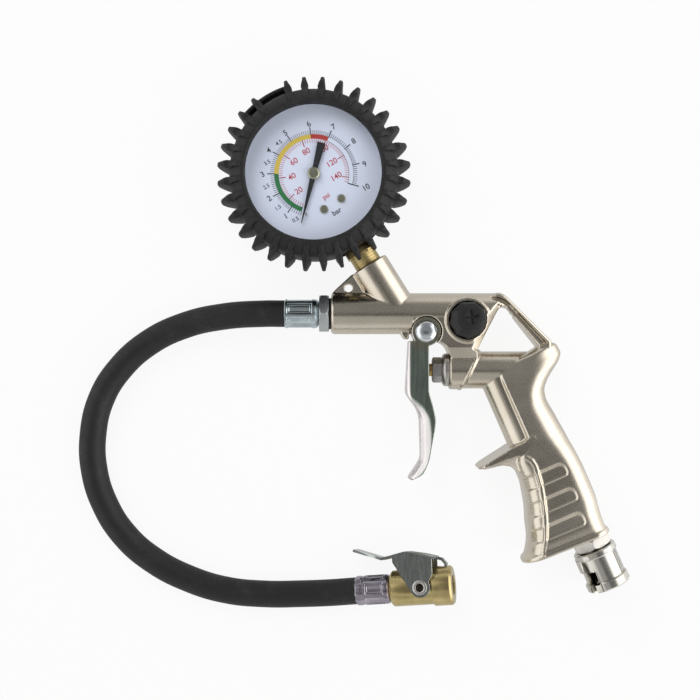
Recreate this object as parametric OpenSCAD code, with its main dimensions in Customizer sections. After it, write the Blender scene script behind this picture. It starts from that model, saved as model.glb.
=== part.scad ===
// Tyre inflator gun: a trigger valve in a die-cast grip, a dial gauge in a rubber boot and a short
// hose with a clip-on chuck. The tool lies on its side: z = 0 is the surface under it, the gauge
// looks up along +Z and the barrel runs along X. The origin is the middle of the boot's flat back.

/* [Barrel and gauge boss] */
// Height of the gun's mid-plane above the surface it lies on
mid_z = 14; // [13.8:0.1:14.6]
// Outer diameter of the barrel
barrel_d = 19.5; // [19:0.25:21]
// Distance from the gauge axis down to the barrel axis
barrel_drop = 64.3; // [63:0.5:67]
// Distance from the gauge axis to the barrel's open end
barrel_start = 7.7; // [6:0.5:10]
// Length of the barrel, from its open end to the brace
barrel_len = 80.3; // [79:0.5:82]
// Diameter of the boss that the gauge screws into
boss_d = 18.6; // [17.5:0.2:19.4]
// Distance from the gauge axis to the boss face
boss_reach = 48.4; // [47:0.2:49]
// Lean of the gauge stem from square to the barrel
stem_tilt = 32; // [30:1:34]
// Thickness of the web beside the boss
web_t = 5; // [4:0.5:7]
// Diameter of the hanging hole in that web
hang_hole_d = 3.8; // [3:0.2:4.4]

/* [Block, brace and valve tube] */
// Thickness of the block that carries the trigger and the bleed button
block_t = 19; // [18:0.2:19.2]
// Thickness of the brace round the hanger opening
brace_t = 13; // [11:0.5:15]
// Depth of the channel along each side of the brace
channel_depth = 1.6; // [1:0.2:2.4]
// Outer diameter of the valve tube
valve_tube_d = 17.6; // [17:0.2:18.4]
// Distance from the barrel axis down to the valve axis
valve_drop = 26.7; // [26.5:0.1:28]
// Distance from the gauge axis to the front face of the valve tube
valve_face = 63.5; // [63:0.1:64.5]
// Depth of the valve chamber
chamber_len = 31.5; // [30:0.5:33]
// Radius of the valve chamber
chamber_r = 6; // [5.8:0.1:6.3]

/* [Grip] */
// Lean of the grip from square to the barrel
grip_tilt = 23.5; // [22:0.5:25]
// Thickness of the grip between its flat sides
grip_t = 26.8; // [25:0.2:27]
// Height of the bead that runs down each side of the grip
bead_h = 0.6; // [0.3:0.1:0.6]
// Width of that bead
bead_w = 2; // [1.5:0.1:2.6]
// Number of finger panels on each side
panels = 3; // [1:1:3]
// Distance from one finger panel to the next
panel_pitch = 12.3; // [11:0.1:12.6]
// Width of a finger panel
panel_w = 6.3; // [5:0.1:7]
// Depth of a finger panel
panel_depth = 0.7; // [0.4:0.1:1]
// Diameter of the air column in front of the grip
column_d = 16.5; // [15:0.5:17]

/* [Trigger] */
// Width of the trigger over its two sides
trigger_w = 14.4; // [14:0.1:15]
// Thickness of the trigger's sheet
trigger_t = 1.5; // [1.2:0.1:1.6]
// Radius of the trigger's ears
ear_r = 6.9; // [6.3:0.1:7.1]
// Diameter of the pivot screw's shank
pivot_d = 5; // [4:0.5:5.5]
// Diameter of the pivot screw's head
pivot_head_d = 9.7; // [8.5:0.1:10.5]
// Length of the lever below its pivot
lever_len = 70.4; // [66:0.2:72]

/* [Valve] */
// Diameter of the push rod
rod_d = 6; // [5:0.2:6.2]
// Width across the flats of the gland nut
gland_af = 10.5; // [9.5:0.1:10.8]
// Length of the gland nut
gland_nut_len = 4.7; // [4:0.1:5]
// Diameter of the gland's flange
flange_d = 15.5; // [14:0.1:16.5]
// Thickness of the gland's flange
flange_t = 3.1; // [2.5:0.1:3.2]

/* [Bleed button] */
// Diameter of the bleed button
button_d = 16.9; // [16:0.1:18.8]
// Height of the bleed button
button_h = 7.4; // [6:0.1:9]
// Travel of the bleed button
button_travel = 2.5; // [2:0.1:2.6]

/* [Gauge] */
// Thickness of the rubber boot's wall round the bezel
boot_wall = 4.5; // [4.2:0.1:5]
// Reach of the fins beyond the boot's wall
fin_reach = 6; // [5:0.2:6.6]
// Thickness of a fin
fin_t = 2.6; // [2:0.1:3]
// Number of fins round the boot
fins = 32; // [32:1:32]
// Outer diameter of the gauge bezel
bezel_d = 69; // [68:0.2:69.2]
// Width of the rim that the boot laps over the bezel
window_lap = 3.3; // [2.8:0.1:3.8]
// Thickness of the boot's back
boot_floor = 3.5; // [3:0.1:4]
// Distance from the dial's face up to the glass
glass_gap = 4; // [3.8:0.1:5]
// Thickness of the glass
lens_t = 2; // [1.6:0.1:2.6]
// Diameter of the gauge's stem thread
stem_d = 13.1; // [12.5:0.1:13.1]

/* [Hose and fittings] */
// Outer diameter of the hose
hose_d = 12.7; // [11:0.1:12.8]
// Length of the ferrule at the gun end
gun_ferrule_len = 16.3; // [16.3:0.1:16.3]
// Diameter of both ferrules over their crimped corners
ferrule_d = 14; // [13.4:0.1:14]
// Width across the flats of the hose fitting's hex
fitting_af = 17; // [15:0.5:18]
// Thickness of the washer under that hex
washer_t = 1; // [0.8:0.1:1.5]

/* [Chuck] */
// Diameter of the chuck's brass body
chuck_d = 16.8; // [16:0.1:17]
// Diameter of the chuck's nose ring
nose_d = 18.4; // [17.8:0.1:18.6]
// Length of the chuck's body behind the ring
chuck_len = 20; // [19.8:0.1:20.4]
// Length of the nose ring
nose_len = 9.5; // [9.3:0.1:10]
// Diameter of the mouth that goes over the tyre valve
mouth_d = 9.2; // [8.4:0.1:9.3]
// Depth of that mouth
mouth_depth = 6.9; // [6.5:0.1:7]
// Thickness of the clip's sheet
clip_t = 1.2; // [1:0.1:1.3]
// Outer diameter of the hollow rivet's shank
rivet_d = 5.2; // [4.6:0.1:5.4]

/* [Inlet] */
// Width across the flats of the inlet hex
inlet_af = 17; // [16:0.5:18]
// Length of the inlet hex
inlet_hex_len = 5; // [4:0.5:6]
// Diameter of the coupler's collars
collar_d = 20.4; // [19.6:0.1:21]
// Diameter of the coupler between its collars
coupler_d = 19; // [18:0.1:19.4]
// Length of the coupler
coupler_len = 19.2; // [18:0.2:21]
// Diameter of the coupler's socket
socket_d = 12.6; // [12:0.1:13]
// Depth of the coupler's socket
socket_depth = 10.7; // [10:0.1:11.4]

/* [Hidden] */
$fn = 48;

// Clearances: between faces that move, of a shaft in its hole, and round a piece that is seated
slack = 0.3;
run = 0.05;
snug = 0.1;
edge = 1;              // small chamfers

// Axes of the gun, all measured from the gauge axis
barrel_y = -barrel_drop;
valve_y = barrel_y - valve_drop;
boss_len = barrel_drop / cos(stem_tilt) - boss_reach;
pivot = [valve_face - 10.9, valve_y + 18.2];
bleed = [valve_face + 8.3, barrel_y - 3.3];
grip_foot = [valve_face + 66.7, valve_y - 79.2];
grip_half = grip_t / 2;

barrel_end = barrel_start + barrel_len;

// Corners of the hanger opening: [x, y, radius]
opening = [[valve_face + 13.4, valve_y, 0.5], [valve_face + 45, valve_y, 0.5],
    [valve_face + 43.6, valve_y + 8.8, 1], [barrel_end + 0.4, barrel_y + 5.8, 3.2],
    [valve_face + 12.9, barrel_y - 17.4, 2]];

// The grip's cross-sections, from its foot to the horn over the web of the thumb:
// [height, front, back, share of the half thickness, front radius, back radius]
grip_sections = [[0, -33.9, 9.4, 1, 6.5, 8], [1.6, -33.6, 9.3, 1, 6.5, 8],
    [1.7, -32.9, 8.4, 1, 6.5, 8], [6.5, -30.7, 8.5, 1, 7, 8.5], [12.5, -27.6, 9.2, 1, 7, 9],
    [19, -24.9, 10.1, 1, 7, 9], [26, -22, 10.2, 1, 7, 9], [32.5, -20.3, 10.2, 1, 7, 9],
    [38, -19.3, 9.9, 1, 7, 9], [43, -19, 9.5, 1, 6, 9.5], [48, -15.5, 9.1, 0.98, 4, 10.5],
    [53, -9.6, 8.8, 0.96, 2.5, 11.5], [60, -8, 8.2, 0.92, 2, 11.5], [68, -8, 7.3, 0.87, 2, 10.8],
    [72, -8, 8, 0.83, 2, 10], [76, -8, 11, 0.8, 2, 9.6], [79.5, -7.5, 15.5, 0.77, 2, 9.2],
    [83, -5, 20.4, 0.74, 2, 8.6], [86.3, -1, 22.5, 0.7, 2, 7.8], [90, 6, 22.2, 0.62, 2, 6],
    [92.8, 14, 19.6, 0.42, 1.5, 2.6]];
beak = [[-35.4, 51.7], [-35.9, 50.6], [-33, 49.4], [-24.5, 48.2], [-21.4, 46.4], [-19.4, 42.6],
    [-12, 41], [-9, 55], [-18, 54.7]];
beak_tip_w = 5;
beak_root_w = 22;
bead_path = [[-17.5, 48], [-12.6, 46.6], [-10, 43.4], [-9.3, 39], [-9.7, 34], [-11, 28], [-12.7, 22],
    [-15, 15.5], [-18.2, 8.5], [-22, 2]];
panel_end = 2.4;
panel_first = 9.8;
column_u = -9.85;      // the air column's place in front of the grip's axis
sleeve_h = 0.45;       // step of the sleeve at the front of the valve tube
lug_half = (trigger_w - 2 * trigger_t) / 2 - 0.35;
pocket_r = ear_r + 0.7;

// Trigger: its side view as corners below the pivot, [x, y, radius]
lever_front = 9.8;
lever_slant = 1.5;
lever_top = -4.5;
lever = [[lever_slant - lever_front, lever_top, 0.3], [-lever_front, -29.5, 6], [-3.2, -38.5, 14],
    [-2.6, 10 - lever_len, 8], [-8.6, 1.2 - lever_len, 0.3], [-7, -lever_len, 0.8],
    [2.4, 5.2 - lever_len, 8], [5.6, -43, 22], [1.2, -28.4, 16], [1.2, lever_top, 0.3]];
lever_bend_r = 3;
ear_inner = trigger_w / 2 - trigger_t;

// Valve train, measured along its axis from the tube's face
rod_tip = pivot.x - lever_front + lever_slant / 2 + trigger_t + slack - valve_face;
neck_r = 2;
seat_at = 10.5;
seat_t = 2;
seal_t = 1.8;
poppet_t = 2;
seat_hole_r = 3.5;
gland_tail = 8;
poppet_at = seat_at + seat_t + run + seal_t;
valve_wire = 1;

// Bleed button, by height above the surface
rim_top = mid_z + 10.5;
rim_r = 10.5;
pit_floor = rim_top - 4;
button_z = pit_floor + button_travel + slack;
bleed_floor = mid_z - 4;
bleed_r = 4.75;
bleed_pin_r = 2;
bleed_seal_t = 2;
bleed_wire = 0.9;

// Gauge, by height above the surface
movement_z = mid_z + 6;            // the movement stands on the socket block
plate_t = 1.2;
plate_gap = 2.8;
dial_z = movement_z + 2 * plate_t + plate_gap + 2.8;
bezel_lip = 1;
bezel_z = dial_z + glass_gap + lens_t + bezel_lip;
gauge_h = bezel_z + 3;
boot_d = bezel_d + 2 * boot_wall;
fin_tip_d = boot_d + 2 * fin_reach;
window_d = bezel_d - 2 * window_lap;
bezel_len = 10.5;
case_r = bezel_d / 2 - 0.9;
case_t = 1;
gasket_t = 0.5;
case_rim = dial_z + glass_gap - gasket_t;
dial_t = 0.8;
fin_phase = 5.9;
loop_from = 3 * 360 / fins + fin_phase + 67.5;
bare_fin = 10;                     // the fin that the hanging loop's slot takes the place of
socket_w = 14;
stem_hole_d = 20.4;                // clears the corners of the socket's wrench square
socket_half = movement_z - mid_z;
post_angle = 16;
post_at = 17.1;
stop_at = 19.1;
stop_angle = -100.6;
pointer_angle = -104;
pointer_z = dial_z + 1.2;
pointer_t = 0.6;
pointer_len = 23.8;
pointer_tail = 14.7;
arbor_r = 0.9;

// Gauge movement: pinion and sector with stub teeth and a little backlash
module_size = 0.4;
pinion_teeth = 10;
sector_teeth = 80;
teeth_cut = 12;
pinion_r = module_size * pinion_teeth / 2;
sector_r = module_size * sector_teeth / 2;
addendum = 0.3;
dedendum = 0.45;
backlash = 0.16;
tooth_w = PI * module_size / 2 - backlash;
sector_pivot = [(pinion_r + sector_r) * cos(stem_tilt + 90), (pinion_r + sector_r) * sin(stem_tilt + 90)];
plate_w = 10;
sector_t = 1;
tube_r = 25;
tube_sweep = 250;
tube_tip = stem_tilt - 90 - 17.2 - tube_sweep;
tail_arm = 7 * [cos(-92), sin(-92)];
link_t = 0.5;
link_z = movement_z + plate_t + (plate_gap + sector_t) / 2 + 0.15;

// Hose: where its middle runs, from the gun to the chuck
fitting_hex_t = 4.6;
shank_r = 5.8;
shank_len = 12;
hose_from = barrel_start - washer_t - fitting_hex_t - gun_ferrule_len;
chuck_at = [20, -196.8, 9.7];
lie = hose_d / 2;      // height of the hose's middle where it lies on the surface
hose_route = [[hose_from, barrel_y, mid_z], [-24, -64.3, 13.8], [-44, -65.6, 10.8], [-63, -69.8, 7.2],
    [-80, -78, lie], [-94, -90.5, lie], [-103, -105, lie], [-107.5, -122, lie], [-107, -139, lie],
    [-101.5, -156, lie], [-91.5, -171, lie], [-78, -182.7, lie], [-61, -191.7, lie],
    [-43, -197.2, lie], [-24, -199.1, lie], [-6, -198.8, 6.6], [7, -198.1, 7.6], chuck_at];
chuck_rise = 12;
chuck_turn = 6;
chuck_roll = -10;
hose_start = [-1, 0, 0];
hose_end = [cos(chuck_rise) * cos(chuck_turn), cos(chuck_rise) * sin(chuck_turn), sin(chuck_rise)];

// Chuck, measured along its axis from the hose
ferrule_len = 17.2;
barb_r = 3.9;
barb_from = 6;
nose_at = ferrule_len + chuck_len;
nose_end = nose_at + nose_len;
mouth_at = nose_end - mouth_depth;
seal_seat_t = 3.2;
pin_seat = 1.4;
rivet_at = ferrule_len + 15;
rivet_head_r = 3.4;
rivet_bore = 5;
cheek_in = chuck_d / 2 + slack;
cheek_out = cheek_in + 1;
slot_from = nose_end - 5.4;
slot_to = nose_end - 1.7;
slot_w = 5;
hook_x = nose_end - 2.8;
clip_ear_r = 4.6;
spring_x = rivet_at - 7.7;
spring_pad_r = 4.4;
spring_pad_h = 2.2;
clip_wire = 0.7;
clip_top = [[20, 15.2], [26, 16.4], [33, 15], [39.4, 13.2]];
clip_tail = [[0.8, 19], [14.2, 14.2], [20, 15.2], [26, 16.4]];
clip_hook = [[33, 15], [39.4, 13.2], [42.4, 12.2], [hook_x, 10.2], [hook_x, mouth_d / 2 + 0.15]];

// Inlet, measured down its axis from the grip's foot
inlet_tap_r = 5.9;
inlet_tap_len = 12;
coupler_at = inlet_hex_len + 0.6;
coupler_end = coupler_at + coupler_len;
collar_len = 3.4;
coupler_bore_r = socket_d / 2 - 0.2;
key_w = 5;
key_len = 9;
key_angle = 135;

nickel = [0.72, 0.70, 0.65];
zinc = [0.66, 0.68, 0.70];
brass = [0.76, 0.64, 0.36];
steel = [0.60, 0.61, 0.60];
black = [0.13, 0.13, 0.13];

function unit(v) = v / norm(v);
function turn_of(u, v) = u.x * v.y - u.y * v.x;
function about(c, v, a) = c + [v.x * cos(a) - v.y * sin(a), v.x * sin(a) + v.y * cos(a)];

// One corner of an outline, rounded to radius r between its neighbours
function round_corner(p, q, s, r, steps) =
    let (u = unit(q - p), v = unit(s - q), side = sign(turn_of(u, v)),
        half = acos(min(1, u * v)) / 2, start = q - u * r * tan(half),
        centre = start + side * r * [-u.y, u.x])
    [for (k = [0:steps]) about(centre, start - centre, side * 2 * half * k / steps)];
function plan(p) = [p.x, p.y];
// An outline through corners given as [x, y, radius]
function rounded(c, steps = 4) =
    let (n = len(c))
    [for (i = [0:n - 1])
        each round_corner(plan(c[(i + n - 1) % n]), plan(c[i]), plan(c[(i + 1) % n]), c[i][2], steps)];
// A strip of even width along a path, mitred at its bends
function normal_at(path, i) =
    let (a = unit(path[min(i + 1, len(path) - 1)] - path[min(i, len(path) - 2)]),
        b = unit(path[max(i, 1)] - path[max(i - 1, 0)]), sum = a + b)
    [-sum.y, sum.x] * 2 / (sum * sum);
function strip(path, w) = concat(
    [for (i = [0:len(path) - 1]) path[i] + normal_at(path, i) * w / 2],
    [for (i = [len(path) - 1:-1:0]) path[i] - normal_at(path, i) * w / 2]);
function polar(r, a) = [r * cos(a), r * sin(a)];
// Four points for each stub tooth, the first at the given angle
function teeth(first, count, total, r) =
    let (root = r - dedendum, tip = r + addendum, slope = 0.3,
        at_tip = (tooth_w / 2 - slope * addendum) / tip * 180 / PI,
        at_root = (tooth_w / 2 + slope * dedendum) / root * 180 / PI)
    [for (k = [0:count - 1]) let (a = first + k * 360 / total)
        each [polar(root, a - at_root), polar(tip, a - at_tip), polar(tip, a + at_tip),
            polar(root, a + at_root)]];

// A skin over rings that all have the same number of points
module skin(rings) {
    n = len(rings[0]);
    last = len(rings) - 1;
    polyhedron(points = [for (r = rings) each r],
        faces = concat([[for (j = [n - 1:-1:0]) j]], [[for (j = [0:n - 1]) last * n + j]],
            [for (i = [0:last - 1], j = [0:n - 1])
                [i * n + j, i * n + (j + 1) % n, (i + 1) * n + (j + 1) % n]],
            [for (i = [0:last - 1], j = [0:n - 1])
                [i * n + j, (i + 1) * n + (j + 1) % n, (i + 1) * n + j]]));
}
// Rings of a round tube along a path, square to it
function direction(path, i, first, final) =
    i == 0 ? first : i == len(path) - 1 ? final : unit(path[i + 1] - path[i - 1]);
function tube_rings(path, r, sides, first, final) =
    [for (i = [0:len(path) - 1])
        let (t = direction(path, i, first, final), up = unit([0, 0, 1] - t.z * t), across = cross(t, up))
        [for (k = [0:sides - 1]) let (a = 90 + 360 * k / sides)
            path[i] + r * (cos(a) * across + sin(a) * up)]];
function helix(radius, length, turns, wire) =
    [for (k = [0:8 * turns]) [radius * cos(45 * k), radius * sin(45 * k),
        wire / 2 + (length - wire) * k / (8 * turns)]];
module spring(radius, length, turns, wire) {
    path = helix(radius, length, turns, wire);
    skin(tube_rings(path, wire / 2, 6, unit(path[1] - path[0]), unit(path[8 * turns] - path[8 * turns - 1])));
}

// Frames of reference
module along_barrel() translate([barrel_start, barrel_y, mid_z]) rotate([0, 90, 0]) children();
module along_stem() translate([0, 0, mid_z]) rotate([0, 0, stem_tilt - 90]) rotate([0, 90, 0]) children();
module along_valve() translate([valve_face, valve_y, mid_z]) rotate([0, 90, 0]) children();
module at_pivot() translate([pivot.x, pivot.y, mid_z]) children();
module at_bleed(z) translate([bleed.x, bleed.y, z]) children();
module in_grip() translate([grip_foot.x, grip_foot.y, 0]) rotate([0, 0, grip_tilt]) children();
module along_inlet() in_grip() translate([0, 0, mid_z]) rotate([90, 0, 0]) children();
module in_chuck() translate(chuck_at) rotate([0, -chuck_rise, chuck_turn])
    rotate([chuck_roll, 0, 0]) children();
module along_chuck(s) in_chuck() translate([s, 0, 0]) rotate([0, 90, 0]) children();
module flat_part(t) linear_extrude(t, center = true) children();
module tube(r, hole, h) difference() {
    cylinder(r = r, h = h);
    translate([0, 0, -edge]) cylinder(r = hole, h = h + 2 * edge);
}
// A hexagon with its corners turned down at both ends
module hexagon(af, h) intersection() {
    corner = af / 2 / cos(30);
    cylinder(r = corner, h = h, $fn = 6);
    rotate_extrude() polygon([[0, 0], [0.51 * af, 0], [corner + 0.3, 0.07 * af],
        [corner + 0.3, h - 0.07 * af], [0.51 * af, h], [0, h]]);
}

// ---- gun body ----
function grip_ring(s, inset = 0) =
    let (half = grip_half * s[3] - inset, front = s[4] - inset, back = s[5] - inset, n = 4,
        u_front = s[1] + s[4], u_back = s[2] - s[5])
    [for (c = [[u_back, half - back, back, 0], [u_front, half - front, front, 90],
            [u_front, front - half, front, 180], [u_back, back - half, back, 270]], k = [0:n])
        let (a = c[3] + 90 * k / n) [c[0] + c[2] * cos(a), s[0], mid_z + c[1] + c[2] * sin(a)]];

// A bar of the block's thickness with its right-hand edges chamfered, along the line from a to b
module chamfered_bar(a, b, chamfer) {
    half = block_t / 2;
    translate([a.x, a.y, 0]) rotate([0, 0, atan2(b.y - a.y, b.x - a.x)]) rotate([90, 0, 90])
        linear_extrude(120, center = true) polygon([[0, chamfer - half], [chamfer, -half], [60, -half],
            [60, half], [chamfer, half], [0, half - chamfer]]);
}

module barrel_and_brace() {
    top = barrel_y + barrel_d / 2;
    brace = [[valve_face + 12, barrel_y], [valve_face + 22, top], [barrel_end, top],
        [barrel_end + 4.7, top - 2], [valve_face + 47.7, top - 22.2], [valve_face + 48.5, valve_y + 2],
        [valve_face + 40, valve_y - 2], [valve_face + 8, valve_y]];
    low = [valve_face + 14, valve_y];
    high = [valve_face + 23, barrel_y + 3];
    block = [[pivot.x - 6.2, barrel_y + 3], [pivot.x - 6.2, pivot.y], [pivot.x, pivot.y - 6.6],
        [valve_face + 0.2, valve_y + flange_d / 2 + 0.2], [valve_face + 0.2, valve_y], low, high];
    difference() {
        union() {
            along_barrel() {
                cylinder(d1 = barrel_d - 2 * edge, d2 = barrel_d, h = edge);
                translate([0, 0, edge]) cylinder(d = barrel_d, h = barrel_len - edge);
            }
            translate([0, 0, mid_z]) {
                flat_part(brace_t) polygon(brace);
                difference() {
                    intersection() {
                        flat_part(block_t) polygon(block);
                        chamfered_bar(low, high, (block_t - brace_t) / 2 - 0.2);
                    }
                    translate([valve_face - 6.5, valve_y + 7])
                        cylinder(r = 6.2, h = 2 * block_t, center = true);
                }
            }
            at_pivot() cylinder(r = ear_r - slack, h = 2 * lug_half, center = true);
        }
        translate([0, 0, mid_z]) {
            flat_part(2 * block_t) polygon(rounded(opening));
            for (side = [-1, 1]) translate([0, 0, side * brace_t / 2])
                flat_part(2 * channel_depth) polygon(strip([[barrel_end + 1, barrel_y + 5.2],
                    [valve_face + 43.5, barrel_y - 13.2]], 2.2));
        }
    }
}

module casting() {
    barrel_and_brace();
    along_stem() translate([0, 0, boss_reach]) cylinder(d = boss_d, h = boss_len);
    translate([0, 0, mid_z]) flat_part(web_t)
        polygon([[8, barrel_y + 3], [8, barrel_y + 9.4], [9.6, barrel_y + 11.2], [17.8, barrel_y + 18.7],
            [27, barrel_y + 14], [32, barrel_y + 3]]);
    translate([pivot.x, pivot.y, mid_z]) flat_part(10)
        polygon([[-12.5, 3], [-11.8, -1.7], [-10.4, -3.6], [-8.3, -3.9], [-7.4, 3]]);
    along_valve() cylinder(d = valve_tube_d, h = 45);
    intersection() {
        along_valve() cylinder(d = valve_tube_d + 2 * sleeve_h, h = 20);
        linear_extrude(2 * mid_z) polygon([[valve_face, valve_y - 10], [valve_face + 5, valve_y - 10],
            [valve_face + 15, valve_y + 10], [valve_face, valve_y + 10]]);
    }
    at_bleed(mid_z) cylinder(r = rim_r, h = rim_top - mid_z);
    in_grip() {
        skin([for (s = grip_sections) grip_ring(s)]);
        translate([column_u, 43, mid_z]) rotate([-90, 0, 0]) cylinder(d = column_d, h = 47.5);
        intersection() {
            linear_extrude(2 * mid_z) polygon(beak);
            translate([0, 60, mid_z]) rotate([90, 0, 0]) linear_extrude(30)
                polygon([[-36, -beak_tip_w / 2], [-8, -beak_root_w / 2], [-8, beak_root_w / 2],
                    [-36, beak_tip_w / 2]]);
        }
    }
}

// Shallow panels that run round the grip's front from one side to the other
module finger_panels() in_grip() difference() {
    for (k = [0:panels - 1]) translate([0, panel_first + k * panel_pitch, 0]) {
        translate([-45, -panel_w / 2, -1]) cube([45 + panel_end - panel_w / 2, panel_w, 2 * mid_z + 2]);
        translate([panel_end - panel_w / 2, 0, -1]) cylinder(d = panel_w, h = 2 * mid_z + 2);
    }
    skin([for (s = grip_sections) grip_ring(s, panel_depth)]);
}

module air_ways() {
    along_barrel() {
        translate([0, 0, -1]) cylinder(r = 5.9, h = 17);
        cylinder(r = 3.5, h = valve_face + 9.5 - barrel_start);
    }
    along_stem() {
        translate([0, 0, boss_reach - 1]) cylinder(d = stem_d + 2 * snug, h = 9.5);
        translate([0, 0, boss_reach]) cylinder(r = 3, h = boss_len);
    }
    along_valve() {
        translate([0, 0, -1]) cylinder(r = chamber_r, h = chamber_len + 1);
        translate([0, 0, seat_at - 1.2]) rotate([-90, 0, 0]) cylinder(r = 1.2, h = valve_drop);
    }
    at_bleed(pit_floor) cylinder(r = button_d / 2 + 0.35, h = 10);
    at_bleed(bleed_floor) cylinder(r = bleed_r, h = pit_floor - bleed_floor + edge);
    at_bleed(bleed_floor - 4.8) cylinder(r = bleed_pin_r + run, h = 6);
    in_grip() {
        translate([0, -1, mid_z]) rotate([-90, 0, 0]) cylinder(r = inlet_tap_r, h = inlet_tap_len + 1);
        translate([0, 8, mid_z]) rotate([-90, 0, 5]) cylinder(r = 3, h = 80);
    }
}

module gun_body() color(nickel) difference() {
    union() {
        casting();
        in_grip() translate([0, 0, mid_z]) flat_part(grip_t + 2 * bead_h) polygon(strip(bead_path, bead_w));
    }
    finger_panels();
    for (side = [-1, 1]) at_pivot() translate([0, 0, side * (lug_half + 10)])
        cylinder(r = pocket_r, h = 20, center = true);
    at_pivot() cylinder(d = pivot_d + 2 * run, h = 30, center = true);
    translate([16, barrel_y + 12, mid_z]) cylinder(d = hang_hole_d, h = 2 * web_t, center = true);
    air_ways();
}

// ---- trigger ----
module trigger() color([0.50, 0.54, 0.51]) at_pivot() difference() {
    union() {
        cylinder(r = ear_r, h = trigger_w, center = true);
        intersection() {
            flat_part(trigger_w) polygon(rounded(lever));
            rotate([90, 0, 0]) linear_extrude(2 * lever_len, center = true) {
                translate([lever_bend_r - lever_front, -trigger_w / 2]) square([30, trigger_w]);
                translate([-lever_front, lever_bend_r - trigger_w / 2])
                    square([10, trigger_w - 2 * lever_bend_r]);
                for (side = [-1, 1])
                    translate([lever_bend_r - lever_front, side * (trigger_w / 2 - lever_bend_r)])
                        circle(r = lever_bend_r);
            }
        }
    }
    translate([trigger_t, 1, 0]) flat_part(2 * ear_inner) polygon(rounded(lever));
    translate([-15, lever_top, -ear_inner]) cube([30, 15, 2 * ear_inner]);
    translate([trigger_t + lever_slant - lever_front, lever_top - 5, -ear_inner])
        cube([30, 10, 2 * ear_inner]);
    cylinder(d = pivot_d + 2 * run, h = 2 * trigger_w, center = true);
}

module trigger_screw() color(zinc) at_pivot() {
    translate([0, 0, -trigger_w / 2 - 3]) cylinder(d = pivot_d, h = trigger_w + 3.5);
    translate([0, 0, trigger_w / 2 + slack]) {
        cylinder(d = pivot_head_d, h = 1);
        intersection() {
            translate([0, 0, -3.6]) sphere(r = 6.4);
            cylinder(d = pivot_head_d - 0.4, h = 4);
        }
    }
}

module trigger_nut() color(zinc) at_pivot() translate([0, 0, -trigger_w / 2 - slack - 2.8])
    tube(4.2, pivot_d / 2 + run, 2.8);

// ---- valve ----
module valve_stem() color(brass) along_valve() {
    translate([0, 0, rod_tip + rod_d / 2]) {
        sphere(d = rod_d);
        cylinder(d = rod_d, h = gland_tail - rod_tip - rod_d / 2);
    }
    cylinder(r = neck_r, h = poppet_at + poppet_t + 0.8);
}

module gland_nut() color(zinc) along_valve() translate([0, 0, -flange_t - gland_nut_len]) difference() {
    rotate([0, 0, 30]) hexagon(gland_af, gland_nut_len);
    translate([0, 0, -1]) cylinder(d = rod_d + 2 * run, h = 10);
}

module valve_gland() color(steel) along_valve() difference() {
    union() {
        translate([0, 0, -flange_t]) cylinder(d1 = flange_d - 2 * edge, d2 = flange_d, h = edge);
        translate([0, 0, edge - flange_t]) cylinder(d = flange_d, h = flange_t - edge);
        cylinder(r = chamber_r - snug, h = gland_tail);
    }
    translate([0, 0, -10]) cylinder(d = rod_d + 2 * run, h = 30);
}

module valve_seat() color(brass) along_valve() translate([0, 0, seat_at])
    tube(chamber_r - snug, seat_hole_r, seat_t);

module valve_seal() color(black) along_valve() translate([0, 0, seat_at + seat_t + run])
    tube(chamber_r - 0.8, neck_r + run, seal_t);

module valve_poppet() color(brass) along_valve() translate([0, 0, poppet_at])
    tube(chamber_r - 1, neck_r + run, poppet_t);

module valve_spring() color(steel) along_valve() translate([0, 0, poppet_at + poppet_t + snug])
    spring(chamber_r - 1.8, chamber_len - poppet_at - poppet_t - 2 * snug, 7, valve_wire);

// ---- bleed button ----
module bleed_button() color(black) at_bleed(button_z) difference() {
    intersection() {
        cylinder(d = button_d, h = button_h);
        rotate([0, 0, 10]) cylinder(d = button_d + 1, h = button_h, $fn = 9);
        translate([0, 0, -1]) cylinder(d1 = button_d + 16, d2 = button_d - 3, h = button_h + 1);
    }
    translate([0, 0, -1]) cylinder(r = bleed_pin_r + run, h = button_h - 2);
    for (a = [20, 110]) rotate([0, 0, a]) translate([-4, -0.7, button_h - 0.9]) cube([8, 1.4, 2]);
}

module bleed_stem() color(brass) at_bleed(bleed_floor - 2)
    cylinder(r = bleed_pin_r, h = button_z + button_h - 3.2 - bleed_floor + 2);

module bleed_seal() color(black) at_bleed(bleed_floor)
    tube(bleed_r - snug, bleed_pin_r + run, bleed_seal_t);

module bleed_spring() color(steel) at_bleed(bleed_floor + bleed_seal_t + snug)
    spring(bleed_r - 1.05, button_z - bleed_floor - bleed_seal_t - 2 * snug, 6, bleed_wire);

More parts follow.
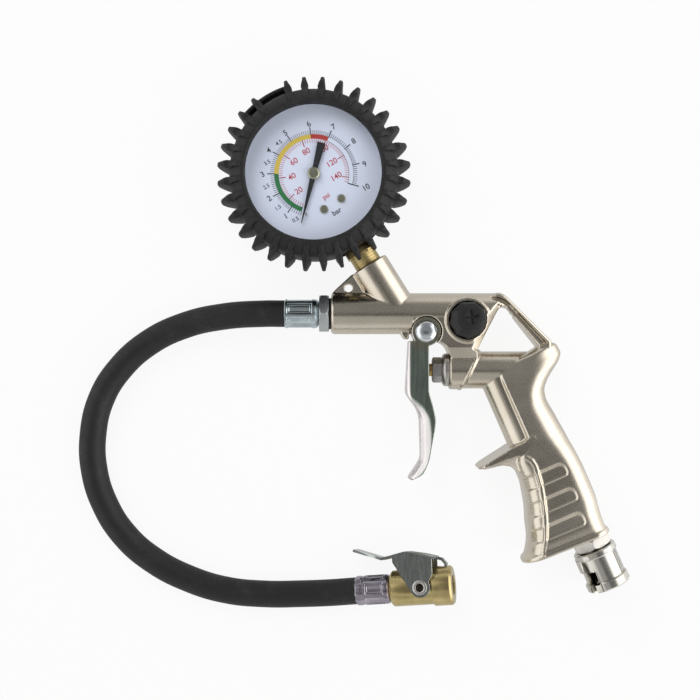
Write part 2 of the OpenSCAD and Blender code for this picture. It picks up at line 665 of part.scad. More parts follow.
// ---- gauge ----
module gauge_boot() color(black) difference() {
    wall = boot_d / 2;
    tip = fin_tip_d / 2;
    lip = window_d / 2;
    nest = bezel_d / 2 + 2 * snug;
    union() {
        rotate_extrude($fn = 96) polygon([[0, 0], [wall - 3.5, 0], [wall - 1, 1.5], [wall, 4],
            [wall, gauge_h - 8], [wall - 0.7, gauge_h - 5], [wall - 3.5, gauge_h - 1.8],
            [wall - 5.5, gauge_h], [lip + 0.4, gauge_h], [lip, gauge_h - 0.6], [lip, bezel_z + 0.05],
            [nest, bezel_z + 0.05], [nest, bezel_z - bezel_len - 0.8],
            [case_r + 2 * snug, bezel_z - bezel_len - 1.4],
            [case_r + 2 * snug, boot_floor], [0, boot_floor]]);
        for (k = [0:fins - 1]) if (k != bare_fin) rotate([90, 0, k * 360 / fins + fin_phase])
            flat_part(fin_t) polygon([[wall - 3, 5], [wall - 1, 3.6], [wall + 0.5, 3.6],
                [tip - 3, 7], [tip - 1.2, 14], [tip - 0.1, 22], [tip, 27.5], [tip - 1, 31.8],
                [tip - 3.5, 35], [wall - 0.4, 36.2], [wall - 2, 37.2], [wall - 3.6, gauge_h + 0.4],
                [wall - 5.4, gauge_h + 0.5], [wall - 6, gauge_h - 0.5], [wall - 5.8, gauge_h - 1.6],
                [wall - 3, gauge_h - 2.4]]);
        rotate([0, 0, loop_from]) rotate_extrude(angle = 3 * 360 / fins, $fn = 96)
            translate([wall + 2.3, 10]) square([2.1, 16]);
    }
    along_stem() translate([0, 0, 29]) cylinder(d = stem_hole_d, h = 22);
}

module gauge_case() color(steel) difference() {
    translate([0, 0, boot_floor]) cylinder(r = case_r, h = case_rim - boot_floor);
    translate([0, 0, boot_floor + case_t]) cylinder(r = case_r - case_t, h = gauge_h);
    along_stem() translate([0, 0, 28]) cylinder(d = stem_hole_d, h = 20);
}

module gauge_bezel() color(black) translate([0, 0, bezel_z - bezel_len]) difference() {
    cylinder(d = bezel_d, h = bezel_len);
    translate([0, 0, -1]) cylinder(r = case_r + snug, h = bezel_len + 1 - bezel_lip);
    translate([0, 0, -1]) cylinder(d = window_d + 0.6, h = bezel_len + 2);
}

module gauge_lens() color([0.8, 0.88, 0.95, 0.35]) translate([0, 0, case_rim + gasket_t])
    cylinder(r = case_r - snug, h = bezel_z - bezel_lip - case_rim - gasket_t);

module lens_gasket() color(black) translate([0, 0, case_rim])
    tube(case_r - snug, case_r - 2, gasket_t);

module at_posts(z) rotate([0, 0, stem_tilt - 90]) for (a = [-post_angle, post_angle])
    translate([post_at * cos(a), post_at * sin(a), z]) children();

module gauge_dial() color([0.86, 0.86, 0.92]) difference() {
    translate([0, 0, dial_z - dial_t]) cylinder(r = case_r - case_t - slack, h = dial_t);
    translate([0, 0, dial_z - 2]) cylinder(r = 2.6, h = 4);
    at_posts(dial_z - 2) cylinder(r = 1, h = 4);
}

module dial_screws() color(brass) at_posts(dial_z) {
    cylinder(r = 1.9, h = 0.8);
    translate([0, 0, -5]) cylinder(r = 0.9, h = 5);
}

module pointer_stop() color(steel) translate([stop_at * cos(stop_angle), stop_at * sin(stop_angle), dial_z])
    cylinder(r = 0.45, h = 2);

module gauge_pointer() color(black) translate([0, 0, pointer_z]) rotate([0, 0, pointer_angle]) difference() {
    union() {
        cylinder(r = 2.8, h = pointer_t);
        linear_extrude(pointer_t) polygon([[-pointer_tail, -1.9], [-4, -1.3], [2, -1.3],
            [pointer_len, -0.15], [pointer_len, 0.15], [2, 1.3], [-4, 1.3], [-pointer_tail, 1.9]]);
    }
    translate([0, 0, -1]) cylinder(r = arbor_r + run, h = 3);
}

module pointer_hub() color(brass) translate([0, 0, pointer_z + pointer_t]) difference() {
    union() {
        cylinder(r = 2.9, h = 0.7);
        translate([0, 0, 0.7]) cylinder(r1 = 2.9, r2 = 2.2, h = 0.5);
    }
    translate([0, 0, -1]) cylinder(r = arbor_r + run, h = 1.6);
}

module pinion_arbor() color(brass) {
    translate([0, 0, movement_z - 0.4])
        cylinder(r = arbor_r, h = pointer_z + pointer_t + 0.5 - movement_z + 0.4);
    translate([0, 0, movement_z + plate_t + 0.4]) linear_extrude(plate_gap - 0.8)
        polygon(teeth(stem_tilt + 90 + 180 / pinion_teeth, pinion_teeth, pinion_teeth, pinion_r));
}

module at_sector(z) translate([sector_pivot.x, sector_pivot.y, z]) children();

module sector_gear() color(brass) at_sector(0) {
    first = stem_tilt - 90 - 9 * 360 / sector_teeth;
    last = first + (teeth_cut - 1) * 360 / sector_teeth;
    rim_in = sector_r - 3.4;
    translate([0, 0, movement_z - 0.4]) cylinder(r = arbor_r, h = 2 * plate_t + plate_gap + 0.8);
    translate([0, 0, movement_z + plate_t + (plate_gap - sector_t) / 2]) linear_extrude(sector_t) {
        polygon(concat(teeth(first, teeth_cut, sector_teeth, sector_r),
            [for (k = [6:-1:0]) polar(rim_in, first - 1.5 + (last - first + 3) * k / 6)]));
        circle(r = 2.4);
        polygon([polar(2, first + 80), polar(2, first - 60), polar(rim_in + 0.5, first + 18),
            polar(rim_in + 0.5, first + 34)]);
        polygon(strip([[0, 0], tail_arm], 2.4));
    }
}

module movement_plates() color(brass) {
    span = pinion_r + sector_r;
    for (level = [0, 1]) translate([0, 0, movement_z + level * (plate_t + plate_gap)]) difference() {
        rotate([0, 0, stem_tilt + 90]) {
            cylinder(r = plate_w / 2, h = plate_t);
            translate([span, 0, 0]) cylinder(r = plate_w / 2, h = plate_t);
            translate([level == 0 ? -12 : 0, -plate_w / 2, 0])
                cube([span + (level == 0 ? 12 : 0), plate_w, plate_t]);
        }
        translate([0, 0, -1]) cylinder(r = arbor_r + run, h = 4);
        translate([sector_pivot.x, sector_pivot.y, -1]) cylinder(r = arbor_r + run, h = 4);
    }
    rotate([0, 0, stem_tilt + 90]) for (side = [-1, 1])
        translate([span + 0.4, side * 3.6, movement_z + plate_t / 2])
            cylinder(r = 1, h = plate_gap + plate_t);
}

module bourdon_tube() color(brass) {
    translate([0, 0, mid_z - 4]) rotate([0, 0, tube_tip]) rotate_extrude(angle = tube_sweep, $fn = 96)
        translate([tube_r - 1.3, 0]) square([2.6, 8]);
    rotate([0, 0, tube_tip]) translate([tube_r - 1, -2.6, mid_z - 3.5])
        cube([2, 3.4, link_z - slack - mid_z + 3.5]);
}

module movement_link() color(steel) {
    tip = polar(tube_r, tube_tip - 3);
    tail = sector_pivot + tail_arm;
    translate([0, 0, link_z]) {
        linear_extrude(link_t) polygon(strip([tip, tail], 1.6));
        for (end = [tip, tail]) translate(end) cylinder(r = 1.4, h = link_t);
    }
}

module gauge_socket() color(brass) difference() {
    union() {
        along_stem() {
            translate([-socket_half, -socket_w / 2, 8]) cube([2 * socket_half, socket_w, 25]);
            translate([0, 0, 30]) cylinder(d = socket_w, h = 7);
            translate([-socket_w / 2, -socket_w / 2, 36.5]) cube([socket_w, socket_w, 5.4]);
            translate([0, 0, 41]) cylinder(d = stem_d, h = boss_reach - 41 + 6.8);
        }
        at_posts(movement_z) cylinder(r = 1.6, h = dial_z - dial_t - movement_z);
    }
    along_stem() translate([0, 0, 18]) cylinder(r = 2, h = 50);
    at_posts(dial_z - 6) cylinder(r = 0.9 + run, h = 8);
}

// ---- hose and its ends ----
module hose_fitting() color(zinc) along_barrel() difference() {
    union() {
        translate([0, 0, -washer_t - fitting_hex_t]) hexagon(fitting_af, fitting_hex_t);
        translate([0, 0, -washer_t]) cylinder(r = shank_r, h = washer_t + shank_len);
        translate([0, 0, -washer_t - fitting_hex_t - 9.4]) cylinder(r = barb_r, h = 10);
    }
    translate([0, 0, -30]) cylinder(r = 2.5, h = 60);
}

module fitting_washer() color(black) along_barrel() translate([0, 0, -washer_t])
    tube(7.4, 5.9, washer_t);

// A crimped sleeve: eight flats pressed into a tube, with a tapered shoulder
module ferrule(h) difference() {
    intersection() {
        cylinder(d = ferrule_d, h = h);
        rotate([0, 0, 10]) cylinder(d = ferrule_d + 0.4, h = h, $fn = 8);
        translate([0, 0, -20]) cylinder(d1 = ferrule_d + 40, d2 = ferrule_d - 2.2, h = h + 20);
    }
    translate([0, 0, h - 11.2]) cylinder(r = barb_r + snug, h = 20);
}

module gun_ferrule() color(zinc) along_barrel() translate([0, 0, hose_from - barrel_start])
    ferrule(gun_ferrule_len);

module hose() color(black) skin(tube_rings(hose_route, hose_d / 2, 12, hose_start, hose_end));

module chuck_ferrule() color(zinc) along_chuck(0) ferrule(ferrule_len);

// ---- chuck ----
module chuck_body() color(brass) difference() {
    union() {
        along_chuck(barb_from) cylinder(r = barb_r, h = ferrule_len - barb_from + 1);
        along_chuck(ferrule_len) {
            cylinder(d1 = chuck_d - 2 * edge, d2 = chuck_d, h = edge);
            translate([0, 0, edge]) cylinder(d = chuck_d, h = chuck_len);
        }
        along_chuck(nose_at) {
            cylinder(d1 = nose_d - edge, d2 = nose_d, h = edge / 2);
            translate([0, 0, edge / 2]) cylinder(d = nose_d, h = nose_len - 1.5);
            translate([0, 0, nose_len - edge]) cylinder(d1 = nose_d, d2 = nose_d - 1.6 * edge, h = edge);
        }
        in_chuck() translate([spring_x, 0, 0]) rotate([-90, 0, 0])
            cylinder(r = spring_pad_r, h = chuck_d / 2 + spring_pad_h);
    }
    along_chuck(mouth_at) cylinder(d = mouth_d, h = 20);
    along_chuck(mouth_at - seal_seat_t) cylinder(d = mouth_d - 1, h = 5);
    along_chuck(mouth_at - seal_seat_t - pin_seat) cylinder(r = 1, h = 5);
    in_chuck() {
        translate([rivet_at, 0, 0]) cylinder(d = rivet_d + 2 * run, h = 30, center = true);
        translate([slot_from, 0, -slot_w / 2]) cube([slot_to - slot_from, 20, slot_w]);
        translate([spring_x, chuck_d / 2 - 0.8, 0]) rotate([-90, 0, 0]) cylinder(r = 3, h = 10);
    }
}

module chuck_clip() color(steel) in_chuck() difference() {
    union() {
        flat_part(13) polygon(strip(clip_tail, clip_t));
        flat_part(2 * cheek_out) polygon(strip(clip_top, clip_t));
        flat_part(slot_w - 0.6) polygon(strip(clip_hook, clip_t));
        for (side = [-1, 1]) translate([0, 0, side * (cheek_in + cheek_out) / 2])
            flat_part(cheek_out - cheek_in) {
                translate([rivet_at, 0]) circle(r = clip_ear_r);
                polygon([[20, 15.4], [20, 12.3], [rivet_at - 4.1, -2], [rivet_at + 4.1, -2],
                    [rivet_at + 4.3, 2.5], [rivet_at + 6.2, 6], [38.6, 13.6], [33, 15.2], [26, 16.6]]);
            }
    }
    translate([rivet_at, 0, 0]) cylinder(d = rivet_d + 2 * run, h = 40, center = true);
}

module chuck_rivet() color(steel) in_chuck() translate([rivet_at, 0, 0]) difference() {
    union() {
        cylinder(d = rivet_d, h = 2 * cheek_out + 1, center = true);
        for (side = [-1, 1]) translate([0, 0, side * (cheek_out + 0.55)])
            cylinder(r = rivet_head_r, h = 1, center = true);
    }
    for (side = [-1, 1]) translate([0, 0, side * (cheek_out + 1.05)])
        cylinder(r = 1.9, h = 2 * rivet_bore, center = true);
}

module clip_spring() color(steel) in_chuck() translate([spring_x, chuck_d / 2 - 0.8 + snug, 0])
    rotate([-90, 0, 0]) spring(2.2, 7.4, 6, clip_wire);

module chuck_seal() color(black) along_chuck(mouth_at - seal_seat_t)
    tube(mouth_d / 2 - 0.6, 1.6, seal_seat_t - snug);

module chuck_pin() color(brass) along_chuck(mouth_at - seal_seat_t - pin_seat)
    cylinder(r = 1 - run, h = seal_seat_t + pin_seat - 0.1);

// ---- inlet ----
module inlet_adapter() color(nickel) along_inlet() difference() {
    union() {
        rotate([0, 0, 95]) hexagon(inlet_af, inlet_hex_len);
        translate([0, 0, 1 - inlet_tap_len]) cylinder(r = inlet_tap_r - snug, h = inlet_tap_len);
        cylinder(r = coupler_bore_r - snug, h = coupler_at + 5.4);
    }
    translate([0, 0, -20]) cylinder(r = 3.2, h = 50);
}

module coupler_body() color(nickel) along_inlet() difference() {
    translate([0, 0, coupler_at]) {
        cylinder(d1 = collar_d - edge, d2 = collar_d, h = edge / 2);
        translate([0, 0, edge / 2]) cylinder(d = collar_d, h = collar_len - edge / 2);
        cylinder(d = coupler_d, h = coupler_len);
        translate([0, 0, coupler_len - collar_len - 0.6]) cylinder(d = collar_d, h = collar_len);
        translate([0, 0, coupler_len - 0.6]) cylinder(d1 = collar_d, d2 = collar_d - 1.2, h = 0.6);
    }
    translate([0, 0, coupler_end - socket_depth]) cylinder(d = socket_d, h = 20);
    cylinder(r = coupler_bore_r, h = 30);
    rotate([0, 0, key_angle]) {
        translate([0, -key_w / 2, coupler_end - key_len]) cube([20, key_w, 20]);
        translate([0, key_w / 2 - 1, coupler_end - key_len]) cube([20, 3.2, 3]);
    }
}

module coupler_seal() color(black) along_inlet() translate([0, 0, coupler_at + 5.6])
    tube(coupler_bore_r - snug, 3.4, coupler_end - socket_depth - coupler_at - 5.8);

gun_body();
trigger();
trigger_screw();
trigger_nut();
valve_stem();
gland_nut();
valve_gland();
valve_seat();
valve_poppet();
valve_seal();
valve_spring();
bleed_button();
bleed_stem();
bleed_seal();
bleed_spring();
gauge_boot();
gauge_case();
gauge_bezel();
gauge_lens();
lens_gasket();
gauge_dial();
dial_screws();
pointer_stop();
gauge_pointer();
pointer_hub();
pinion_arbor();
sector_gear();
movement_plates();
bourdon_tube();
movement_link();
gauge_socket();
hose_fitting();
fitting_washer();
gun_ferrule();
hose();
chuck_ferrule();
chuck_body();
chuck_clip();
chuck_rivet();
clip_spring();
chuck_seal();
chuck_pin();
inlet_adapter();
coupler_body();
coupler_seal();
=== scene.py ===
import math
import bpy
from mathutils import Matrix, Vector


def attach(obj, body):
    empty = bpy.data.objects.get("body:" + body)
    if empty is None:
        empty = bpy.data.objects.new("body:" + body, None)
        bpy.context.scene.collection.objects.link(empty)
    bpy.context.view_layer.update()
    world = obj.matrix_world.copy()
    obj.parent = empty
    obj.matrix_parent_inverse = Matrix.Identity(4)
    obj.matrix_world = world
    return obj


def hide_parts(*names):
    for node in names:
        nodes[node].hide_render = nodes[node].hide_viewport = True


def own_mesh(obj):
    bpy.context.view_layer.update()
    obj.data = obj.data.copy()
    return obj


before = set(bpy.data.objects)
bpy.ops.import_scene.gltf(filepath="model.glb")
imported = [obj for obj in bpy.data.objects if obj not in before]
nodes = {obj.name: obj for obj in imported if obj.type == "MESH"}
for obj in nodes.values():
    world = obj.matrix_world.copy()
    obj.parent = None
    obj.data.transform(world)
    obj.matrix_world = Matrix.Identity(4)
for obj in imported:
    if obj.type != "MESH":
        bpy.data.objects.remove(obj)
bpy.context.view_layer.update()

mm = 0.001  # lengths and places are given in millimetres
mergeDistance = 0.000001


def shift(x, y, z=0):
    return Matrix.Translation((x * mm, y * mm, z * mm))


def turn(axis, degrees):
    return Matrix.Rotation(math.radians(degrees), 4, axis)


# the same axes as the solids have
middleZ = 14
inMiddle = shift(0, 0, middleZ)
alongBarrel = shift(7.7, -64.3, middleZ) @ turn("Y", 90)
alongStem = inMiddle @ turn("Z", 32 - 90) @ turn("Y", 90)
alongValve = shift(63.5, -91, middleZ) @ turn("Y", 90)
inGrip = shift(130.2, -170.2) @ turn("Z", 23.5)
alongInlet = inGrip @ inMiddle @ turn("X", 90)
upGrip = inGrip @ inMiddle @ turn("X", -90)
upColumn = inGrip @ shift(-9.85, 0, middleZ) @ turn("X", -90)
inChuck = shift(20, -196.8, 9.7) @ turn("Z", 6) @ turn("Y", -12) @ turn("X", -10)
alongChuck = inChuck @ turn("Y", 90)
atRivet = inChuck @ shift(32.2, 0)
pivot = (52.6, -72.8)
knob = (71.8, -67.6)
atPivot = shift(*pivot, middleZ)
atKnob = shift(*knob)
atHangingHole = shift(16, -52.3, middleZ)


def only(piece):
    if bpy.context.object and bpy.context.object.mode != "OBJECT":
        bpy.ops.object.mode_set(mode="OBJECT")
    bpy.ops.object.select_all(action="DESELECT")
    if piece:
        piece.select_set(True)
        bpy.context.view_layer.objects.active = piece
    return piece


def edit(piece, kind="vertices", test=None):
    # opens the piece with the vertices, edges or polygons selected whose middle passes the test
    only(piece)
    data = piece.data
    kinds = ("vertices", "edges", "polygons")
    bpy.context.tool_settings.mesh_select_mode = [kind == k for k in kinds]
    for group in (data.vertices, data.edges, data.polygons):
        group.foreach_set("select", [test is None] * len(group))
    if test:
        for part in getattr(data, kind):
            if kind == "vertices":
                part.select = test(part.co / mm)
                continue
            places = [data.vertices[i].co for i in part.vertices]
            if test(sum(places, Vector()) / len(places) / mm, part):
                part.select = True
                for i in part.vertices:
                    data.vertices[i].select = True
    bpy.ops.object.mode_set(mode="EDIT")


def leave():
    bpy.ops.object.mode_set(mode="OBJECT")


def named(name):
    piece = bpy.context.object
    piece.name = piece.data.name = name
    return piece


def settle(piece, place=None):
    if place is not None:
        piece.matrix_world = place @ piece.matrix_world
    only(piece)
    bpy.ops.object.transform_apply(location=True, rotation=True, scale=True)
    return piece


def modify(piece, kind, **settings):
    only(piece)
    change = piece.modifiers.new(kind.title(), kind)
    for key, value in settings.items():
        setattr(change, key, value)
    bpy.ops.object.modifier_apply(modifier=change.name)
    return piece


def merge():
    bpy.ops.mesh.remove_doubles(threshold=mergeDistance)


def outwards(piece, place):
    # leaves the open piece with its faces outwards, in its place
    bpy.ops.mesh.normals_make_consistent(inside=False)
    leave()
    return settle(piece, place)


def outline(name, points, closed=True):
    only(None)
    bpy.ops.mesh.primitive_circle_add(vertices=len(points), radius=0.01)
    piece = named(name)
    for vertex, point in zip(piece.data.vertices, points):
        vertex.co = Vector(point) * mm
    if not closed:
        last = len(points) - 1
        edit(piece, "edges", lambda middle, part: set(part.vertices) == {0, last})
        bpy.ops.mesh.delete(type="EDGE")
        leave()
    return piece


def plate(name, corners, low, high, place=None):
    piece = outline(name, [(x, y, low) for x, y in corners])
    edit(piece)
    bpy.ops.mesh.edge_face_add()
    bpy.ops.mesh.extrude_region_move(TRANSFORM_OT_translate={"value": (0, 0, (high - low) * mm)})
    bpy.ops.mesh.select_all(action="SELECT")
    return outwards(piece, place)


def lathe(name, profile, place=None, steps=96, closed=False):
    piece = outline(name, [(r, 0, z) for r, z in profile], closed)
    modify(piece, "SCREW", steps=steps, render_steps=steps, use_merge_vertices=True,
           merge_threshold=mergeDistance, use_smooth_shade=False)
    edit(piece)
    merge()
    return outwards(piece, place)


def rod(name, r, low, high, place, edge=0.0, steps=72):
    foot = [(r - edge, low), (r, low + edge)] if edge else [(r, low)]
    return lathe(name, [(0, low), *foot, (r, high), (0, high)], place, steps)


def skinOver(name, rings, place=None):
    # rings of equal length, each closed on itself, with both ends capped
    across, up = len(rings[0]), len(rings) - 1
    only(None)
    bpy.ops.mesh.primitive_grid_add(x_subdivisions=across, y_subdivisions=up, size=0.1)
    piece = named(name)
    for k, vertex in enumerate(piece.data.vertices):
        row, column = divmod(k, across + 1)
        vertex.co = Vector(rings[row][column % across]) * mm
    edit(piece)
    merge()
    bpy.ops.mesh.fill_holes(sides=0)
    return outwards(piece, place)


def carve(piece, *tools, how="DIFFERENCE", keep=False):
    for tool in tools:
        modify(piece, "BOOLEAN", operation=how, solver="MANIFOLD", object=tool)
        if not keep:
            bpy.data.objects.remove(tool)
    return piece


def meets(piece, tool):
    # whether their boxes touch
    spans = []
    for data in (piece.data, tool.data):
        places = [v.co for v in data.vertices]
        spans.append([(min(p[k] for p in places), max(p[k] for p in places)) for k in range(3)])
    return all(a[0] < b[1] and b[0] < a[1] for a, b in zip(*spans))


def join(name, pieces):
    only(pieces[0])
    for piece in pieces:
        piece.select_set(True)
    bpy.ops.object.join()
    return named(name)


def copies(piece, places):
    # the piece again at each place; the piece itself goes
    made = []
    for place in places:
        copy = bpy.data.objects.new(piece.name, piece.data.copy())
        bpy.context.scene.collection.objects.link(copy)
        copy.data.transform(place)
        made.append(copy)
    bpy.data.objects.remove(piece)
    return made


def smooth(piece, angle=32):
    only(piece)
    bpy.ops.object.shade_smooth_by_angle(angle=math.radians(angle))
    return piece


def bevel(piece, width, segments, angle):
    return modify(piece, "BEVEL", width=width * mm, segments=segments, limit_method="ANGLE",
            angle_limit=math.radians(angle))


def soften(piece, width=0.25, segments=2, angle=28):
    return smooth(bevel(piece, width, segments, angle), angle + 12)


def remesh(piece, voxel):
    # one even skin, with its small steps smoothed away
    modify(piece, "REMESH", mode="VOXEL", voxel_size=voxel * mm, use_smooth_shade=True)
    return modify(piece, "SMOOTH", factor=0.5, iterations=3)


def nodeCopy(node, name):
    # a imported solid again, merged
    piece = bpy.data.objects.new(name, nodes[node].data.copy())
    bpy.context.scene.collection.objects.link(piece)
    edit(piece)
    merge()
    leave()
    return piece


def softCopy(node, name, width=0.2, segments=2, angle=28):
    # the same with its edges broken
    piece = nodeCopy(node, name)
    edit(piece)
    bpy.ops.mesh.dissolve_limited(angle_limit=math.radians(0.6))
    leave()
    return soften(piece, width, segments, angle)


def ramp(value, low, high):
    t = max(0.0, min(1.0, (value - low) / (high - low)))
    return t * t * (3 - 2 * t)


def rounded(corners, steps=5):
    # an outline through corners given as (x, y, radius)
    points, count = [], len(corners)
    for k in range(count):
        before, here, after = (Vector(corners[(k + d) % count][:2]) for d in (-1, 0, 1))
        u, v, radius = (here - before).normalized(), (after - here).normalized(), corners[k][2]
        side = 1 if u.x * v.y - u.y * v.x > 0 else -1
        half = math.acos(max(-1, min(1, u.dot(v)))) / 2
        start = here - u * radius * math.tan(half)
        centre = start + side * radius * Vector((-u.y, u.x))
        arm = start - centre
        for n in range(steps + 1):
            angle = side * 2 * half * n / steps
            points.append((centre.x + arm.x * math.cos(angle) - arm.y * math.sin(angle),
                    centre.y + arm.x * math.sin(angle) + arm.y * math.cos(angle)))
    return points


def polar(radius, degrees):
    a = math.radians(degrees)
    return radius * math.cos(a), radius * math.sin(a)


def arc(radius, start, end, steps):
    return [polar(radius, start + (end - start) * k / steps) for k in range(steps + 1)]


def sector(name, inner, outer, start, end, low, high, place=None, each=4):
    # part of a flat ring, with a corner at every so many degrees
    steps = max(16 // each, int(abs(end - start) / each))
    around = arc(outer, start, end, steps) + arc(inner, end, start, steps)
    return plate(name, around, low, high, place)


def strip(low, high, half):
    return [(low, -half), (high, -half), (high, half), (low, half)]


def mirrored(points):
    # the same outline on the other side of the middle
    return [(across, 2 * middleZ - z) for across, z in points]


# the camera looks straight down
cameraSettings = {"place": (16.72, -81.55, 564), "view": 33.64, "near": 10, "far": 20000}


def makeCamera(s):
    only(None)
    bpy.ops.object.camera_add(location=[v * mm for v in s["place"]], rotation=(0, 0, 0))
    camera = bpy.context.object
    camera.data.angle = math.radians(s["view"])
    camera.data.clip_start, camera.data.clip_end = s["near"] * mm, s["far"] * mm
    bpy.context.scene.camera = camera


makeCamera(cameraSettings)


class Wire:
    # a node's output that can be added, multiplied and so on
    def __init__(self, finish, socket):
        self.finish, self.socket = finish, socket

    def __add__(self, other):
        return self.finish.maths("ADD", self, other)

    def __sub__(self, other):
        return self.finish.maths("SUBTRACT", self, other)

    def __rsub__(self, other):
        return self.finish.maths("SUBTRACT", other, self)

    def __mul__(self, other):
        return self.finish.maths("MULTIPLY", self, other)

    def __truediv__(self, other):
        return self.finish.maths("DIVIDE", self, other)

    def __gt__(self, other):
        return self.finish.maths("GREATER_THAN", self, other)

    __radd__, __rmul__ = __add__, __mul__

    def between(self, low, high):
        # 0 below low, 1 above high, soft in between
        return self.finish.node("MapRange", {"interpolation_type": "SMOOTHSTEP"},
                {0: self, 1: low, 2: high})


def asColour(value):
    return [*value, 1] if isinstance(value, tuple) else value


class Finish:
    def __init__(self, name, tree=None):
        self.material = None
        if tree is None:
            self.material = bpy.data.materials.new(name)
            self.material.use_nodes = True
            tree = self.material.node_tree
        self.tree = tree
        tree.nodes.clear()

    def node(self, kind, settings=None, inputs=None, out=0):
        made = self.tree.nodes.new("ShaderNode" + kind)
        for key, value in (settings or {}).items():
            setattr(made, key, value)
        for key, value in (inputs or {}).items():
            if isinstance(value, Wire):
                self.tree.links.new(value.socket, made.inputs[key])
            else:
                made.inputs[key].default_value = value
        return Wire(self, made.outputs[out])

    def maths(self, operation, first, second=0.0):
        return self.node("Math", {"operation": operation}, {0: first, 1: second})

    def axis(self, vector, k):
        return self.node("SeparateXYZ", None, {0: vector}, out=k)

    def place(self):
        return self.node("TexCoord", out="Object")

    def spot(self, stretch=(1, 1, 1), angles=(0, 0, 0)):
        turned = [math.radians(a) for a in angles]
        return self.node("Mapping", {"vector_type": "POINT"},
                {"Vector": self.place(), "Rotation": turned, "Scale": stretch})

    def away(self, place):
        # distance from the axis of a place
        back = place.inverted()
        local = self.node("Mapping", {"vector_type": "POINT"},
                {"Vector": self.place(), "Location": back.translation,
                "Rotation": back.to_euler("XYZ")})
        x, y = self.axis(local, 0), self.axis(local, 1)
        return self.maths("SQRT", x * x + y * y)

    def noise(self, scale, detail=2, stretch=(1, 1, 1), angles=(0, 0, 0)):
        return self.node("TexNoise", None,
                {"Vector": self.spot(stretch, angles), "Scale": scale, "Detail": detail})

    def rings(self, scale, angles):
        # turning marks across a piece's own axis
        return self.node("TexNoise", {"noise_dimensions": "1D"},
                {"W": self.axis(self.spot(angles=angles), 0), "Scale": scale, "Detail": 3})

    def mix(self, factor, first, second):
        return self.node("Mix", {"data_type": "RGBA"},
                {0: factor, 6: asColour(first), 7: asColour(second)}, out=2)

    def bump(self, height, strength, distance=0.1):
        return self.node("Bump", None,
                {"Height": height, "Strength": strength, "Distance": distance * mm})

    def shade(self, **inputs):
        values = {key.replace("_", " "): asColour(value) for key, value in inputs.items()}
        return self.show(self.node("BsdfPrincipled", None, values))

    def show(self, surface, output="OutputMaterial"):
        made = self.tree.nodes.new("ShaderNode" + output)
        self.tree.links.new(surface.socket, made.inputs["Surface"])
        return self.material


# size of the patterns: larger is finer
patterns = {"speck": 2300, "cloud": 55, "pits": 700, "hair": 900, "patch": 140, "ring": 2600,
        "stain": 160, "dust": 120, "ink": 1800, "dialGrain": 1600, "dialCloud": 45, "haze": 30}
boreShade = (0.07, 0.062, 0.05)


def castFinish(name, bright, dark, rough, grain=0.13, bore=None):
    # plated casting: satin grain, cloudier in patches; bore is an axis and a radius inside which painted
    # shade darkens the colour
    f = Finish(name)
    speck, cloud = f.noise(patterns["speck"], 3), f.noise(patterns["cloud"], 3)
    tone = (speck * 0.75 + cloud * 0.55).between(0.35, 0.9)
    pits = f.noise(patterns["pits"], 2).between(0.62, 0.75)
    colour = f.mix(tone, dark, bright)
    if bore:
        # painted shade: the colour turns dark inside the bore's radius
        edge = bore[1] * mm
        colour = f.mix(f.away(bore[0]).between(edge, edge * 1.12), boreShade, colour)
    return f.shade(Base_Color=colour, Metallic=1.0,
            Roughness=speck * 0.14 + cloud * 0.1 + (rough - 0.1),
            Normal=f.bump(speck - pits * 0.5, grain, 0.06))


def brushedFinish(name, bright, dark, rough, stretch, angles=(0, 0, 0), marks=0.15):
    f = Finish(name)
    hair, cloud = f.noise(patterns["hair"], 4, stretch, angles), f.noise(patterns["patch"], 2)
    colour = f.mix((hair * 0.6 + cloud * 0.4).between(0.3, 0.72), dark, bright)
    return f.shade(Base_Color=colour, Metallic=1.0, Roughness=hair * 0.16 + (rough - 0.08),
            Normal=f.bump(hair, marks, 0.05))


def turnedFinish(name, bright, dark, rough, angles, marks=0.2):
    # lathe rings along the piece's own X, with a few stains
    f = Finish(name)
    ring, stain = f.rings(patterns["ring"], angles), f.noise(patterns["stain"], 4)
    colour = f.mix((ring * 0.45 + stain * 0.6).between(0.32, 0.75), dark, bright)
    return f.shade(Base_Color=colour, Metallic=1.0, Roughness=stain * 0.2 + (rough - 0.1),
            Normal=f.bump(ring, marks, 0.05))


def rubberFinish(name, colour, pale, rough, grain=0.35, scale=1500):
    f = Finish(name)
    fine, wide = f.noise(scale, 3), f.noise(patterns["dust"], 4)
    dust = (wide * 0.6 + fine * 0.4).between(0.48, 0.75)
    return f.shade(Base_Color=f.mix(dust, colour, pale), Roughness=rough - fine * 0.18 + 0.06,
            Normal=f.bump(fine, grain, 0.08), Specular_IOR_Level=0.4)


def inkFinish(name, colour):
    f = Finish(name)
    wear = f.noise(patterns["ink"], 3).between(0.45, 0.8)
    worn = tuple(c * 0.9 + 0.03 for c in colour)
    return f.shade(Base_Color=f.mix(wear, colour, worn), Roughness=0.55)


# the two front colours are a painted highlight for the lever's faces turned to the left, not a colour of
# the sheet
leverColours = {"bright": (0.46, 0.53, 0.465), "dark": (0.35, 0.405, 0.355),
        "eye": (0.50, 0.47, 0.37), "eyeR": (7, 12),
        "front": (0.84, 0.80, 0.79), "frontHighlightDark": (0.72, 0.68, 0.68)}


